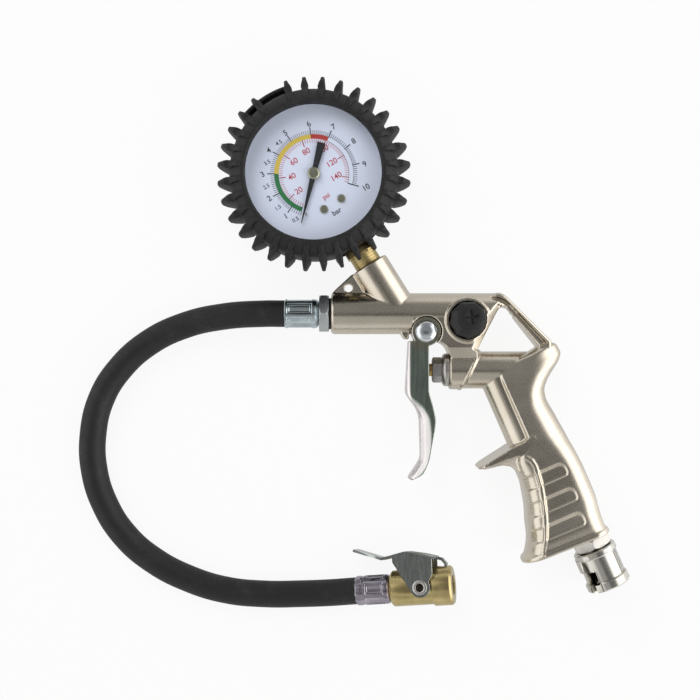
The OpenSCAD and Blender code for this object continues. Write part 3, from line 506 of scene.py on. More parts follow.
def leverFinish(name, s, rough):
    # rolled sheet: green grey sides, a painted highlight as pale colour on the faces turned to the left,
    # browner round the pivot
    f = Finish(name)
    hair, cloud = f.noise(patterns["hair"], 4, (1, 0.06, 1)), f.noise(patterns["patch"], 2)
    away = f.node("VectorMath", {"operation": "DISTANCE"},
            {0: f.spot((1, 1, 0)), 1: (pivot[0] * mm, pivot[1] * mm, 0)}, out="Value")
    leaning = f.axis(f.node("NewGeometry", out="Normal"), 0)
    near, far = (r * mm for r in s["eyeR"])
    side = f.mix((hair * 0.6 + cloud * 0.4).between(0.3, 0.72), s["dark"], s["bright"])
    side = f.mix((1 - away.between(near, far)) * 0.75, side, s["eye"])
    # painted highlight: the faces turned to the left take a pale colour in place of the green
    front = f.mix(hair.between(0.35, 0.7), s["frontHighlightDark"], s["front"])
    return f.shade(Base_Color=f.mix((leaning * -1).between(0.12, 0.5), side, front), Metallic=1.0,
            Roughness=hair * 0.14 + (rough - 0.07), Normal=f.bump(hair, 0.12, 0.05))


def dialFinish():
    f = Finish("dialFace")
    fine, wide = f.noise(patterns["dialGrain"], 3), f.noise(patterns["dialCloud"], 2)
    return f.shade(Base_Color=f.mix(wide, (0.80, 0.81, 0.93), (0.87, 0.88, 0.98)),
            Roughness=fine * 0.1 + 0.42, Normal=f.bump(fine, 0.04, 0.05))


def lensFinish():
    # clear through its thickness, with a thin gloss
    f = Finish("clearLens")
    haze = f.noise(patterns["haze"], 2) * 0.012 + 0.006
    clear = f.node("BsdfTransparent", None, {"Color": [0.97, 0.985, 1, 1]})
    gloss = f.node("BsdfPrincipled", None, {"Base Color": [0.9, 0.95, 1, 1], "Roughness": 0.06})
    return f.show(f.node("MixShader", None, {0: haze, 1: clear, 2: gloss}))


# bright and dark colour, roughness, then grain, marks or direction
chuckAngles, stemAngles = (0, 12, -6), (0, 0, 58)
finishes = {
    "nickel": castFinish("satinNickel", (0.72, 0.66, 0.56), (0.56, 0.50, 0.41), 0.24),
    # the coupler and the rivet get painted shade inside their bores
    "coupler": castFinish("brightNickel", (0.62, 0.60, 0.55), (0.50, 0.48, 0.43), 0.13, 0.04,
        (alongInlet, 7.4)),
    "hexNickel": castFinish("dullNickel", (0.56, 0.54, 0.50), (0.44, 0.42, 0.38), 0.34, 0.12),
    "hexZinc": castFinish("hexZinc", (0.58, 0.61, 0.62), (0.40, 0.42, 0.43), 0.34, 0.1),
    "gland": castFinish("glandSteel", (0.50, 0.48, 0.47), (0.34, 0.33, 0.32), 0.36, 0.1),
    "flange": castFinish("flangeSteel", (0.60, 0.57, 0.54), (0.46, 0.44, 0.41), 0.34, 0.08),
    "brass": castFinish("plainBrass", (0.74, 0.6, 0.34), (0.5, 0.4, 0.2), 0.34, 0.08),
    "hub": castFinish("hubBrass", (0.6, 0.58, 0.4), (0.4, 0.38, 0.26), 0.3, 0.08),
    "rivet": castFinish("rivetSteel", (0.78, 0.76, 0.72), (0.5, 0.48, 0.45), 0.26, 0.08,
        (atRivet, 1.7)),
    "steel": castFinish("springSteel", (0.6, 0.61, 0.6), (0.4, 0.41, 0.4), 0.32, 0.06),
    "trigger": leverFinish("triggerPlate", leverColours, 0.26),
    "screw": brushedFinish("screwZinc", (0.86, 0.89, 0.92), (0.66, 0.7, 0.74), 0.2, (0.2, 1, 1),
        marks=0.06),
    "zincBlue": brushedFinish("crimpZinc", (0.70, 0.79, 0.82), (0.46, 0.53, 0.56), 0.24, (0.15, 1, 1)),
    "zincPurple": brushedFinish("crimpDark", (0.46, 0.42, 0.48), (0.30, 0.27, 0.32), 0.17,
        (0.3, 1, 1), marks=0.06),
    "clip": brushedFinish("clipSteel", (0.56, 0.59, 0.56), (0.43, 0.46, 0.44), 0.26,
        (1, 0.08, 1), chuckAngles),
    "rod": turnedFinish("rodBrass", (0.62, 0.45, 0.2), (0.36, 0.25, 0.1), 0.3, (0, 0, 0)),
    "chuck": turnedFinish("chuckBrass", (0.66, 0.52, 0.26), (0.45, 0.37, 0.16), 0.26, chuckAngles),
    "socket": turnedFinish("stemBrass", (0.58, 0.45, 0.21), (0.32, 0.25, 0.11), 0.3, stemAngles),
    "boot": rubberFinish("bootRubber", (0.012, 0.012, 0.013), (0.03, 0.03, 0.032), 0.62),
    "hose": rubberFinish("hoseRubber", (0.011, 0.011, 0.012), (0.026, 0.026, 0.028), 0.58, 0.22, 1100),
    "rubber": rubberFinish("sealRubber", (0.012, 0.012, 0.012), (0.03, 0.03, 0.03), 0.6, 0.15),
    "knob": rubberFinish("knobPlastic", (0.014, 0.014, 0.014), (0.03, 0.03, 0.031), 0.5, 0.12, 2400),
    "paint": rubberFinish("bezelPaint", (0.010, 0.010, 0.014), (0.02, 0.02, 0.026), 0.42, 0.05, 2600),
    "pointer": rubberFinish("pointerPaint", (0.006, 0.006, 0.006), (0.014, 0.014, 0.014), 0.5,
        0.04, 2600),
    "black": inkFinish("blackInk", (0.012, 0.012, 0.02)),
    "red": inkFinish("redInk", (0.56, 0.045, 0.07)),
    "redBand": inkFinish("redBandInk", (0.52, 0.035, 0.02)),
    "yellowBand": inkFinish("yellowBandInk", (0.78, 0.55, 0.07)),
    "greenBand": inkFinish("greenBandInk", (0.012, 0.18, 0.045)),
    "dial": dialFinish(),
    "lens": lensFinish(),
}
print("finishes made")


def paint(data, finish):
    data.materials.clear()
    data.materials.append(finishes[finish])


def dress(piece, finish, slot, *replaced, body="gun"):
    paint(piece.data, finish)
    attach(piece, body)
    if replaced:
        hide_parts(*replaced)
    return piece


def dressCopy(node, name, width, finish, slot, body="gun", segments=2):
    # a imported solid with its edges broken, in the place of that solid
    return dress(softCopy(node, name, width, segments), finish, slot, node, body=body)


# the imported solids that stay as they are, mostly inside
inner = {
    "brass": ["valve_seat", "valve_poppet", "bleed_stem", "pinion_arbor", "sector_gear",
        "movement_plates", "bourdon_tube", "chuck_pin"],
    "rubber": ["valve_seal", "bleed_seal", "lens_gasket", "chuck_seal", "coupler_seal"],
    "steel": ["gauge_case", "movement_link", "pointer_stop"],
    "dial": ["gauge_dial"],
}
for finish, group in inner.items():
    for node in group:
        paint(nodes[node].data, finish)

springSettings = {
    # joint, axis, the end that stays (0 low, 1 high), travel of the other end
    "valve_spring": ("trigger_pivot", 0, 1, 3.2),
    "bleed_spring": ("bleed_press", 2, 0, 2.5),
    "clip_spring": ("clip_turn", 1, 0, 1.6),
}


def makeSpring(node, joint, axis, end, travel):
    spring = smooth(nodeCopy(node, node.split("_")[0] + "Spring"), 40)
    dress(spring, "steel", "steel", node)
    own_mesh(spring)
    return spring


springs = {node: makeSpring(node, *settings) for node, settings in springSettings.items()}
print("inner solids dressed")

hoseSettings = {
    "diameter": 12.7, "alongSteps": 10, "roundSteps": 12,
    "bend": 1.004,  # how much longer the curve is than its chords
    "route": [(-14.2, -64.3, 14), (-24, -64.3, 13.8), (-44, -65.6, 10.8), (-63, -69.8, 7.2),
        (-80, -78, 6.4), (-94, -90.5, 6.35), (-103, -105, 6.35), (-107, -122, 6.35),
        (-106.5, -139, 6.35), (-101.2, -156, 6.35), (-91.5, -171, 6.35), (-78, -182.7, 6.35),
        (-61, -191.6, 6.35), (-43, -197.1, 6.35), (-24, -199, 6.42), (-6, -198.8, 6.8),
        (7, -198.1, 7.8), (20, -196.8, 9.7)],
}


def makeHose(s):
    only(None)
    bpy.ops.curve.primitive_bezier_curve_add()
    hose = named("hoseTube")
    line = hose.data.splines[0]
    line.bezier_points.add(len(s["route"]) - 2)
    for point, place in zip(line.bezier_points, s["route"]):
        point.co = Vector(place) * mm
        point.handle_left_type = point.handle_right_type = "AUTO"
    hose.data.dimensions = "3D"
    hose.data.resolution_u = s["alongSteps"]
    hose.data.bevel_resolution = s["roundSteps"]
    hose.data.bevel_depth = s["diameter"] / 2 * mm
    hose.data.use_fill_caps = True
    bpy.context.view_layer.update()
    spans = [Vector(b) - Vector(a) for a, b in zip(s["route"], s["route"][1:])]
    length = sum(span.length for span in spans) * s["bend"] * mm
    dress(hose, "hose", "hose_rubber", "hose")
    return hose, length


hose, hoseLength = makeHose(hoseSettings)
print("hose", round(hoseLength, 4))

gripSettings = {
    # height, front, back, share of the half thickness, front and back corner radius
    "sections": [(0.9, -33.7, 9.2, 0.97, 11, 8), (1.4, -34, 9.4, 1, 11, 8), (3, -33.8, 9.3, 1, 11, 8),
        (3.7, -32.4, 8.4, 0.98, 11, 8), (7, -29.5, 8.5, 0.995, 10, 8.5), (12.5, -26.6, 9.2, 1, 8.5, 9),
        (19, -24.4, 10.1, 1, 7.4, 9), (26, -21.9, 10.2, 1, 7.4, 9), (32.5, -20.3, 10.2, 1, 7.2, 9),
        (38, -19.3, 9.9, 1, 7, 9), (43, -19.2, 9.5, 1, 6.5, 9.5), (48, -17.8, 9.1, 0.98, 4, 10.5),
        (50.5, -14.2, 9, 0.97, 3, 11), (53, -10, 8.8, 0.96, 1.4, 11.5),
        (56, -9.3, 8.5, 0.94, 1.2, 11.5), (60, -9.2, 8.2, 0.92, 1.1, 11.5),
        (68, -9.2, 7.3, 0.87, 1.1, 10.8), (72, -9.2, 8, 0.83, 1.1, 10.4), (76, -9.2, 11, 0.8, 1.1, 12),
        (79.5, -9.2, 15.5, 0.77, 1.1, 14.5), (83, -9.2, 20.4, 0.74, 1.1, 17),
        (86.3, -9.2, 22.5, 0.69, 1.1, 18), (90, -7, 22.2, 0.62, 1.1, 14), (92.8, 12, 19.6, 0.42, 1, 4)],
    "half": 13.4, "flat": 0.3, "tall": 1.15, "cornerSteps": 24, "step": 0.4, "around": 280,
    # the foot slants about its middle, less and less up to where it is straight
    "footTilt": 0.033, "footMiddle": -13, "footFade": (3, 14),
    # sunk panels: middle height and front end of each, then what they share
    "panels": [(12.05, -0.2), (24, 1), (36.25, 1.4)], "panelHalf": 3.15, "panelDepth": 0.85,
    "panelTop": 3.1, "panelLow": 1.7, "panelFade": (0.05, 0.6), "panelSoft": (-0.25, 0.25),
    "bead": [(-19, 50.6), (-14.3, 48.9), (-12, 46.1), (-11.5, 43), (-11.7, 40.8), (-12.7, 33.4),
        (-14.3, 27.1), (-16.1, 20.8), (-18.3, 15), (-20.9, 9.3), (-24.6, 3)],
    "beadHalf": 1.05, "beadHeight": 0.42, "beadSoft": (-0.05, 0.42), "beadTop": 52,
}


def awayFrom(u, v, path):
    # distance from a point to a line of points
    best = math.inf
    for a, b in zip(path, path[1:]):
        du, dv = b[0] - a[0], b[1] - a[1]
        t = max(0, min(1, ((u - a[0]) * du + (v - a[1]) * dv) / (du * du + dv * dv)))
        best = min(best, math.hypot(u - a[0] - t * du, v - a[1] - t * dv))
    return best


def gripRing(s, front, back, share, rFront, rBack):
    # an even walk round a rectangle with two corner radii: (u, z, outward u, outward z)
    half = s["half"] * share
    tallBack = min(rBack, half - s["flat"])
    tallFront = min(rFront * s["tall"], half - s["flat"])
    corners = [(back - rBack, half - tallBack, rBack, tallBack, 0),
            (front + rFront, half - tallFront, rFront, tallFront, 90),
            (front + rFront, tallFront - half, rFront, tallFront, 180),
            (back - rBack, tallBack - half, rBack, tallBack, 270)]
    fine = []
    for cu, cz, ru, rz, start in corners:
        for n in range(s["cornerSteps"] + 1):
            x, y = polar(1, start + 90 * n / s["cornerSteps"])
            length = math.hypot(x / ru, y / rz)
            fine.append((cu + ru * x, cz + rz * y, x / ru / length, y / rz / length))
    fine.append(fine[0])
    reach = [0.0]
    for p, q in zip(fine, fine[1:]):
        reach.append(reach[-1] + math.hypot(q[0] - p[0], q[1] - p[1]))
    ring, k = [], 0
    for n in range(s["around"]):
        want = reach[-1] * n / s["around"]
        while reach[k + 1] < want:
            k += 1
        t = (want - reach[k]) / max(reach[k + 1] - reach[k], 1e-9)
        ring.append([a + (b - a) * t for a, b in zip(fine[k], fine[k + 1])])
    return ring


def slope(sections, k, c):
    # flat where the side turns back, so that no bulge is added
    if k in (0, len(sections) - 1):
        return 0.0
    left, right = ((sections[n + 1][c] - sections[n][c]) / (sections[n + 1][0] - sections[n][0])
            for n in (k - 1, k))
    return 0.0 if left * right <= 0 else 2 * left * right / (left + right)


def gripMove(s, u, v, nz):
    # how far the surface stands out, or in where this is below 0
    move = 0.0
    for middle, end in s["panels"]:
        corner = s["panelTop"] if v > middle else s["panelLow"]
        right, over = u - end + corner, abs(v - middle) - s["panelHalf"] + corner
        away = math.hypot(max(right, 0), max(over, 0)) + min(max(right, over), 0) - corner
        deep = s["panelDepth"] * ramp(abs(nz), *s["panelFade"])
        move = min(move, -deep * ramp(-away, *s["panelSoft"]))
    if abs(nz) > 0.5 and v < s["beadTop"]:
        on = ramp(s["beadHalf"] - awayFrom(u, v, s["bead"]), *s["beadSoft"])
        move += on * (s["beadHeight"] - move)
    return move


def gripRings(s):
    sections = s["sections"]
    rings, v, k = [], sections[0][0], 0
    while v <= sections[-1][0]:
        while k < len(sections) - 2 and v > sections[k + 1][0]:
            k += 1
        low, high = sections[k], sections[k + 1]
        gap = high[0] - low[0]
        t = (v - low[0]) / gap
        values = [(2 * t**3 - 3 * t * t + 1) * low[c]
                + (t**3 - 2 * t * t + t) * gap * slope(sections, k, c)
                + (3 * t * t - 2 * t**3) * high[c]
                + (t**3 - t * t) * gap * slope(sections, k + 1, c) for c in range(1, 6)]
        ring = []
        for u, z, nu, nz in gripRing(s, *values):
            move = gripMove(s, u, v, nz)
            drop = s["footTilt"] * (u - s["footMiddle"]) * (1 - ramp(v, *s["footFade"]))
            ring.append((u + nu * move, v - drop, middleZ + z + nz * move))
        rings.append(ring)
        v += s["step"]
    return rings


bodySettings = {
    # round shells: radius, from, to, axis, broken edge
    "rods": {"barrel": (9.75, 0, 80.3, alongBarrel, 1.0), "boss": (9.3, 48.4, 75.8, alongStem, 0.5),
        "tube": (8.8, 0, 42, alongValve, 0.6), "sleeve": (9.25, 0, 20, alongValve, 0.6),
        "ridge": (9.75, 0, 24, alongValve), "ears": (6.6, -5.35, 5.35, atPivot),
        "rim": (10.5, 14, 24.5, atKnob), "column": (8.25, 43, 90.5, upColumn)},
    # what two of them are cut to
    "slants": {"sleeve": [(62, -103), (67.6, -103), (79.1, -79), (62, -79)],
        "ridge": [(67.1, -103), (68.1, -103), (79.6, -79), (78.6, -79)]},
    "slantSpan": (-12, 40),
    # flat shells: outline, half thickness, broken edge (width, segments, angle)
    "plates": {
        "web": ([(8, -61.3), (8, -54.9), (9.6, -53.1), (17.8, -45.6), (27, -50.3),
        (32, -61.3)], 2.5, (0.8, 3, 60)),
        "lug": ([(40.1, -69.8), (40.8, -74.5), (42.2, -76.4), (44.3, -76.7),
        (45.2, -69.8)], 5, (0.6, 2, 60)),
        "brace": ([(75.5, -64.3), (85.5, -54.55), (87.2, -54.55), (89.2, -55.3), (90.8, -56.6),
        (111.6, -77.3), (112, -89), (103.5, -93), (71.5, -91)], 6.5, (1.6, 4, 60)),
        "block": ([(46.4, -61.3), (46.4, -72.8), (52.6, -79.4), (63.6, -83.8), (65.6, -88), (79, -88),
        (86.5, -61.3)], 9.5, (0.5, 2, 50)),
    },
    # what the block's faces lose at its lower end, as (y, z)
    "apron": [(-80.3, 23.55), (-89, 20.4), (-89, 27), (-80.3, 27)], "apronSpan": (60, 90),
    # bores and pockets: radius, from, to, axis, broken edge, steps
    "bores": [(5.9, -1, 16, alongBarrel), (6.65, 47.4, 56.9, alongStem),
        (6, -1, 31.5, alongValve), (8.8, 20.5, 31, atKnob), (4.75, 10, 21, atKnob),
        (5.9, -1, 12, upGrip), (2.55, -15, 15, atPivot), (1.9, -6, 6, atHangingHole, 0, 40),
        (7.2, 5.35, 25, atPivot), (7.2, -25, -5.35, atPivot)],
    # what only the opened shells are cut by
    "opened": ("barrel", "brace", "block", "rim"), "through": 19, "bite": (57, -84), "biteR": 6.2,
    "opening": [(76.9, -91, 0.5), (108.5, -91, 0.5), (107.1, -82.2, 1), (88.4, -58.5, 3.2),
        (76.4, -81.7, 2)],
    "channel": [(82.3, -56.5, 0.2), (86.3, -56.5, 1), (89.4, -57.7, 1), (91.6, -59.5, 1),
        (109.4, -78.1, 0.3), (106.5, -79.8, 0.3), (90.3, -61, 1), (88.4, -59.4, 1), (86.2, -58.7, 1),
        (83.5, -57.9, 0.3)],
    "channelDepth": 3.8, "chamfer": 2.8, "chamferAlong": (76.4, -81.7, 62.64),
    "chamferSpan": (-0.5, 27), "chamferPast": (0.5, 1),
    # the finger beak, and the hollow under it: outline, then half thickness along it
    "beaks": [([(-35.4, 52), (-35.9, 51.1), (-33, 50.6), (-17.5, 49.9), (-14, 48.8), (-6, 46),
        (-6, 56), (-9.1, 56), (-11.5, 55), (-18, 54.7)],
        [(-36.5, 8), (-33, 11.9), (-11.5, 12.8), (-6, 12.8)]),
        ([(-34.5, 51), (-33, 49.4), (-24.5, 48.2), (-21.4, 46.4), (-19.4, 42.6), (-12, 41),
        (-12, 50.5)], [(-36.5, 3), (-11.5, 12.3), (-10, 12.3)])],
    "beakSpan": (-60, -30), "beakEdge": (0.5, 2, 40), "voxel": 0.4, "faces": 190000,
}


def bodyWindows(s):
    reach, depth, chamfer = s["through"], s["channelDepth"], s["chamfer"]
    braceHalf, blockHalf = (s["plates"][name][1] for name in ("brace", "block"))
    windows = [rod("bite", s["biteR"], -reach, reach, shift(*s["bite"], middleZ)),
            plate("opening", rounded(s["opening"]), -reach, reach, inMiddle)]
    windows += [plate("channel", rounded(s["channel"]), low, low + 2 * depth, inMiddle)
            for low in (-braceHalf - depth, braceHalf - depth)]
    x, y, along = s["chamferAlong"]
    before, past = s["chamferPast"]
    low = middleZ + blockHalf - chamfer
    high = low + chamfer + past
    corners = [(-before, low - before), (chamfer + past, high), (-before, high)]
    onSlope = shift(x, y) @ turn("Z", along + 90) @ turn("X", 90)
    return windows + [plate("chamfer", side, *s["chamferSpan"], onSlope)
            for side in (corners, mirrored(corners))]


def makeBody(s):
    cutters = [rod("bore", *bore) for bore in s["bores"]]
    windows = bodyWindows(s)
    shells = {}
    for name, sizes in s["rods"].items():
        shells[name] = rod(name, *sizes)
        if name in s["slants"]:
            slant = plate("slant", s["slants"][name], *s["slantSpan"])
            carve(shells[name], slant, how="INTERSECT")
    for name, (corners, half, broken) in s["plates"].items():
        shells[name] = plate(name, corners, -half, half, inMiddle)
        if name == "block":
            across = turn("Z", 90) @ turn("X", 90)
            for side in (s["apron"], mirrored(s["apron"])):
                carve(shells[name], plate("apron", side, *s["apronSpan"], across))
        bevel(shells[name], *broken)
    for k, (corners, wedge) in enumerate(s["beaks"]):
        beak = plate("beak", corners, 0, 2 * middleZ, inGrip)
        both = wedge + [(x, -y) for x, y in wedge[::-1]]
        carve(beak, plate("wedge", both, *s["beakSpan"], alongInlet), how="INTERSECT")
        shells["beak" + str(k)] = bevel(beak, *s["beakEdge"])
    shells["grip"] = skinOver("grip", gripRings(gripSettings), inGrip)
    for name, shell in shells.items():
        for tool in cutters + (windows if name in s["opened"] else []):
            if meets(shell, tool):
                carve(shell, tool, keep=True)
    for tool in cutters + windows:
        bpy.data.objects.remove(tool)
    body = remesh(join("gunBody", list(shells.values())), s["voxel"])
    triangles = sum(len(p.vertices) - 2 for p in body.data.polygons)
    print("body triangles", triangles)
    if triangles > s["faces"]:
        modify(body, "DECIMATE", ratio=s["faces"] / triangles)
    only(body)
    bpy.ops.object.shade_smooth()
    return dress(body, "nickel", "nickel", "gun_body")


makeBody(bodySettings)
print("gun body made")

triggerSettings = {
    # height, reach of the round front, width
    "lean": [(-66, 0, 1), (-100, 0, 1), (-108, 3.8, 1), (-114, 5, 0.95), (-120.4, 5.6, 0.86),
        (-127, 5.6, 0.79), (-135.7, 6, 0.72), (-138.5, 6, 0.78), (-141, 6, 1), (-144, 6, 1)],
    "slope": 0.46, "steep": 0.55, "steepShare": 0.4, "soft": (0.8, 0.2), "half": 7.2, "voxel": 0.34,
}


def makeTrigger(s):
    # the bent sheet gets rounder and narrower down to the finger end
    lever = remesh(softCopy("trigger", "triggerLever", 0.45, 3, 40), s["voxel"])
    front = {}
    for vertex in lever.data.vertices:
        key = round(vertex.co.y / mm)
        front[key] = min(front.get(key, math.inf), vertex.co.x / mm)
    keys = sorted(front)
    bend, sink = s["soft"]
    for vertex in lever.data.vertices:
        x, y = vertex.co.x / mm, vertex.co.y / mm
        low = max(keys[0], min(keys[-1] - 1, math.floor(y)))
        edge = front.get(low, x) + (front.get(low + 1, x) - front.get(low, x)) * (y - low)
        for a, b in zip(s["lean"], s["lean"][1:]):
            if b[0] <= y <= a[0]:
                t = (a[0] - y) / (a[0] - b[0])
                reach, width = a[1] + (b[1] - a[1]) * t, a[2] + (b[2] - a[2]) * t
        x = edge + (x - edge) * width
        over = reach - (x - edge)
        drop = s["slope"] * (math.hypot(over, bend) + over - sink) / 2 if reach else 0
        drop += s["steep"] * max(0, reach * s["steepShare"] - (x - edge))
        vertex.co.x = x * mm
        level = middleZ * mm
        vertex.co.z = level + (vertex.co.z - level) * (1 - max(drop, 0) / s["half"])
    only(lever)
    bpy.ops.object.shade_smooth()
    return dress(lever, "trigger", "trigger_steel", "trigger", body="trigger")


makeTrigger(triggerSettings)
dressCopy("trigger_nut", "pivotNut", 0.4, "screw", "zinc")
dressCopy("valve_stem", "pushRod", 0.1, "rod", "brass", "valve")
dressCopy("gland_nut", "glandNut", 0.2, "gland", "zinc")
dressCopy("valve_gland", "glandFlange", 0.3, "flange", "zinc")

screwSettings = {"head": 5.15, "rim": 0.8, "edge": 0.3, "dome": 2, "domeR": 4.95, "shank": 2.5,
        "foot": -10.2, "tip": 0.4, "seat": 7.5, "steps": 64,
        "notch": (3.7, 7, 0.8), "notchSpan": (-0.7, 4), "notchTurn": 12}


def makeScrew(s):
    head, edge, shank, seat, foot = (s[k] for k in ("head", "edge", "shank", "seat", "foot"))
    top = seat + s["rim"]
    dome = [(s["domeR"] * math.cos(a), top + s["dome"] * math.sin(a))
            for a in map(math.radians, range(6, 91, 7))]
    profile = [(0, foot), (shank - s["tip"], foot), (shank, foot + s["tip"]), (shank, seat),
            (head - edge, seat), (head, seat + edge), (head, top - edge), (head - edge, top),
            *dome[:-1], (0, dome[-1][1])]
    screw = lathe("pivotScrew", profile, steps=s["steps"])
    low, high = s["notchSpan"]
    place = turn("Z", s["notchTurn"])
    carve(screw, plate("notch", strip(*s["notch"]), top + low, top + high, place))
    soften(settle(screw, atPivot), 0.12, 2, 40)
    return dress(screw, "screw", "zinc", "trigger_screw")


makeScrew(screwSettings)

knobSettings = {
    # radius at the corners, height, whether it has sides, share of the lean
    "rings": [(8.12, 23.3, True, 0), (8.72, 23.9, True, 0), (8.72, 27.4, True, 0),
        (8.22, 28.1, True, 0.1), (6.9, 29.8, True, 0.8), (6.2, 30.05, True, 1),
        (5.8, 29.95, False, 1), (5.5, 30.3, False, 1), (3.5, 30.5, False, 1)],
    "sides": 9, "points": 72, "phase": 32, "lean": (1.1, 1.3),
    "cross": [8, 98], "arm": (-3.4, 3.4, 0.65), "armSpan": (29.4, 33.3),
}


def makeKnob(s):
    # a nine sided knob whose top sits a little off to one side
    half, each, step = 180 / s["sides"], s["points"] // s["sides"], 360 / s["points"]
    rings = []
    for r, z, sided, share in s["rings"]:
        x, y = (c * share for c in s["lean"])
        ring = []
        for k in range(s["points"]):
            flat = math.cos(math.radians(half)) / math.cos(math.radians(k % each * step - half))
            u, v = polar(r * flat if sided else r, s["phase"] + k * step)
            ring.append((x + u, y + v, z))
        rings.append(ring)
    button = skinOver("bleedKnob", rings, atKnob)
    for angle in s["cross"]:
        carve(button, plate("cross", strip(*s["arm"]), *s["armSpan"],
                atKnob @ shift(*s["lean"]) @ turn("Z", angle)))
    soften(button, 0.14, 2, 26)
    return dress(button, "knob", "black_plastic", "bleed_button", body="bleed")


makeKnob(knobSettings)
print("trigger, valve and button made")

bootSettings = {
    "wall": [(0, 0), (35.5, 0), (37.6, 0.8), (38.6, 2.6), (39, 5), (39, 29.5), (38.3, 33), (37, 35),
        (35.5, 36.2), (33.8, 37.7), (33, 38), (31.9, 38), (31.4, 37.6), (31.2, 37), (31.2, 35.05),
        (34.7, 35.05), (34.7, 23.7), (33.8, 23.1), (33.8, 3.5), (0, 3.5)],
    "fin": [(36, 5), (38, 3.8), (40.5, 4.2), (42.6, 7.4), (43.9, 13.5), (44.9, 21), (45, 27),
        (44.4, 31), (43, 33.8), (41.2, 35.1), (39.6, 34.8), (38.2, 35.3), (37, 36.6), (35.6, 38.1),
        (34, 38.5), (33.1, 37.8), (33.1, 36.6), (36, 35.4)],
    "around": 192, "count": 32, "phase": 5.9, "bare": 10, "finEdge": (0.75, 3, 50),
    # a fin's half thickness on the rim, and outside of it from root to tip
    "rim": 38, "rimHalf": 1.25, "rootHalf": 1.8, "tipHalf": 0.9, "taper": (39.5, 43),
    "loop": (107.15, 140.9), "loopR": (43.4, 41.3), "loopSteps": 24, "loopSpan": (10, 26),
    "loopEdge": (0.8, 3, 50),
    "exit": (10.2, 29, 51), "exitMiddle": (23.8, -38.2), "exitNear": 14,
}


def makeBoot(s):
    wall = lathe("gaugeBoot", s["wall"], steps=s["around"])
    fin = bevel(plate("fin", s["fin"], -1, 1), *s["finEdge"])
    for vertex in fin.data.vertices:  # thinner towards the tip, and waisted over the rim
        reach = vertex.co.x / mm
        half = s["rootHalf"] + (s["tipHalf"] - s["rootHalf"]) * ramp(reach, *s["taper"])
        vertex.co.z *= half if reach > s["rim"] else s["rimHalf"]
    fins = copies(fin, [turn("Z", s["phase"] + k * 360 / s["count"]) @ turn("X", 90)
            for k in range(s["count"]) if k != s["bare"]])
    (start, end), (outer, inner), steps = s["loop"], s["loopR"], s["loopSteps"]
    around = arc(outer, start, end, steps) + arc(inner, end, start, steps)
    loop = bevel(plate("loop", around, *s["loopSpan"]), *s["loopEdge"])
    way = rod("exit", *s["exit"], alongStem, steps=64)
    carve(wall, way, keep=True)
    middle = Vector(s["exitMiddle"]) * mm
    for piece in fins:
        if min((v.co.xy - middle).length for v in piece.data.vertices) < s["exitNear"] * mm:
            carve(piece, way, keep=True)
    bpy.data.objects.remove(way)
    boot = smooth(join("gaugeBoot", [wall, loop, *fins]), 40)
    return dress(boot, "boot", "rubber", "gauge_boot")


makeBoot(bootSettings)
dressCopy("gauge_bezel", "bezelRing", 0.25, "paint", "black_paint")
dressCopy("gauge_lens", "gaugeGlass", 0.15, "lens", "lens")
dressCopy("gauge_pointer", "dialPointer", 0.06, "pointer", "black_paint", "pointer", 1)
dressCopy("pointer_hub", "pointerCap", 0.12, "hub", "brass", "pointer")
dressCopy("dial_screws", "dialScrews", 0.12, "hub", "brass")

dialSettings = {
    "lean": 32, "psiPerBar": 14.504,
    # angle of each mark
    "bar": {0.5: 252, 1: 236, 2: 209, 3: 180, 4: 152, 5: 125, 6: 95, 7: 68, 8: 39, 9: 13, 10: -15.5},
    # the middles of the words, in units of the dial
    "numbers": {"0.5": (-140, -350), "1": (-215, -325), "1.5": (-275, -260), "2": (-340, -190),
        "2.5": (-363, -98), "3": (-393, -5), "3.5": (-357, 85), "4": (-345, 178), "4.5": (-268, 238),
        "5": (-218, 312), "6": (-39, 380), "7": (150, 360), "8": (305, 250), "9": (390, 75),
        "10": (400, -105)},
    "pounds": {"20": (-115, -130), "40": (-167, -22), "60": (-152, 93), "80": (-58, 170), "100": (70, 185),
        "120": (138, 85), "140": (172, -22)},
    "units": {"psi": (95, -172), "bar": (175, -290)},
    "unit": 0.0604,
    "heights": {"bar": 2.6, "half": 1.85, "pounds": 2.65, "barUnit": 2.5, "psiUnit": 2.3},
    "capShare": 0.72, "thick": 0.012, "bolder": 0.018, "wordFoot": 28.03,
    # inner and outer radius, width
    "tenths": (18.4, 20.2, 0.25), "wholes": (18.2, 21.6, 0.5), "last": (16.2, 21.4, 0.5),
    "twos": (14.5, 16.25, 0.23), "twenties": (13.1, 16.25, 0.45), "tickSpan": (28.035, 28.06),
    "arcs": [(18.36, 18.52), (16.2, 16.36)], "bandR": (16.3, 18.4), "bandSpan": (28.01, 28.03),
    "bands": {"Green": (0.5, 3), "Yellow": (3, 6), "Red": (6, 7)},  # from and to, in bar
}


def barAngle(s, bar):
    marks = sorted(s["bar"])
    for low, high in zip(marks, marks[1:]):
        if bar <= high or high == marks[-1]:
            share = (bar - low) / (high - low)
            return s["bar"][low] + (s["bar"][high] - s["bar"][low]) * share


def words(s, text, spot, height):
    only(None)
    bpy.ops.object.text_add()
    label = bpy.context.object.data
    label.body = text
    label.align_x, label.align_y = "CENTER", "CENTER"
    label.size = height / s["capShare"] * mm
    label.extrude = s["thick"] * mm
    label.offset = height * s["bolder"] * mm
    bpy.ops.object.convert(target="MESH")
    x, y = (c * s["unit"] for c in spot)
    return settle(bpy.context.object, shift(x, y, s["wordFoot"]) @ turn("Z", s["lean"]))


def ticks(s, angles, inner, outer, width):
    tick = plate("tick", strip(inner, outer, width / 2), *s["tickSpan"])
    return copies(tick, [turn("Z", a) for a in angles])


def band(s, name, radii, low, high):
    return sector(name, *radii, s["bar"][low], s["bar"][high], *s["bandSpan"], each=2)


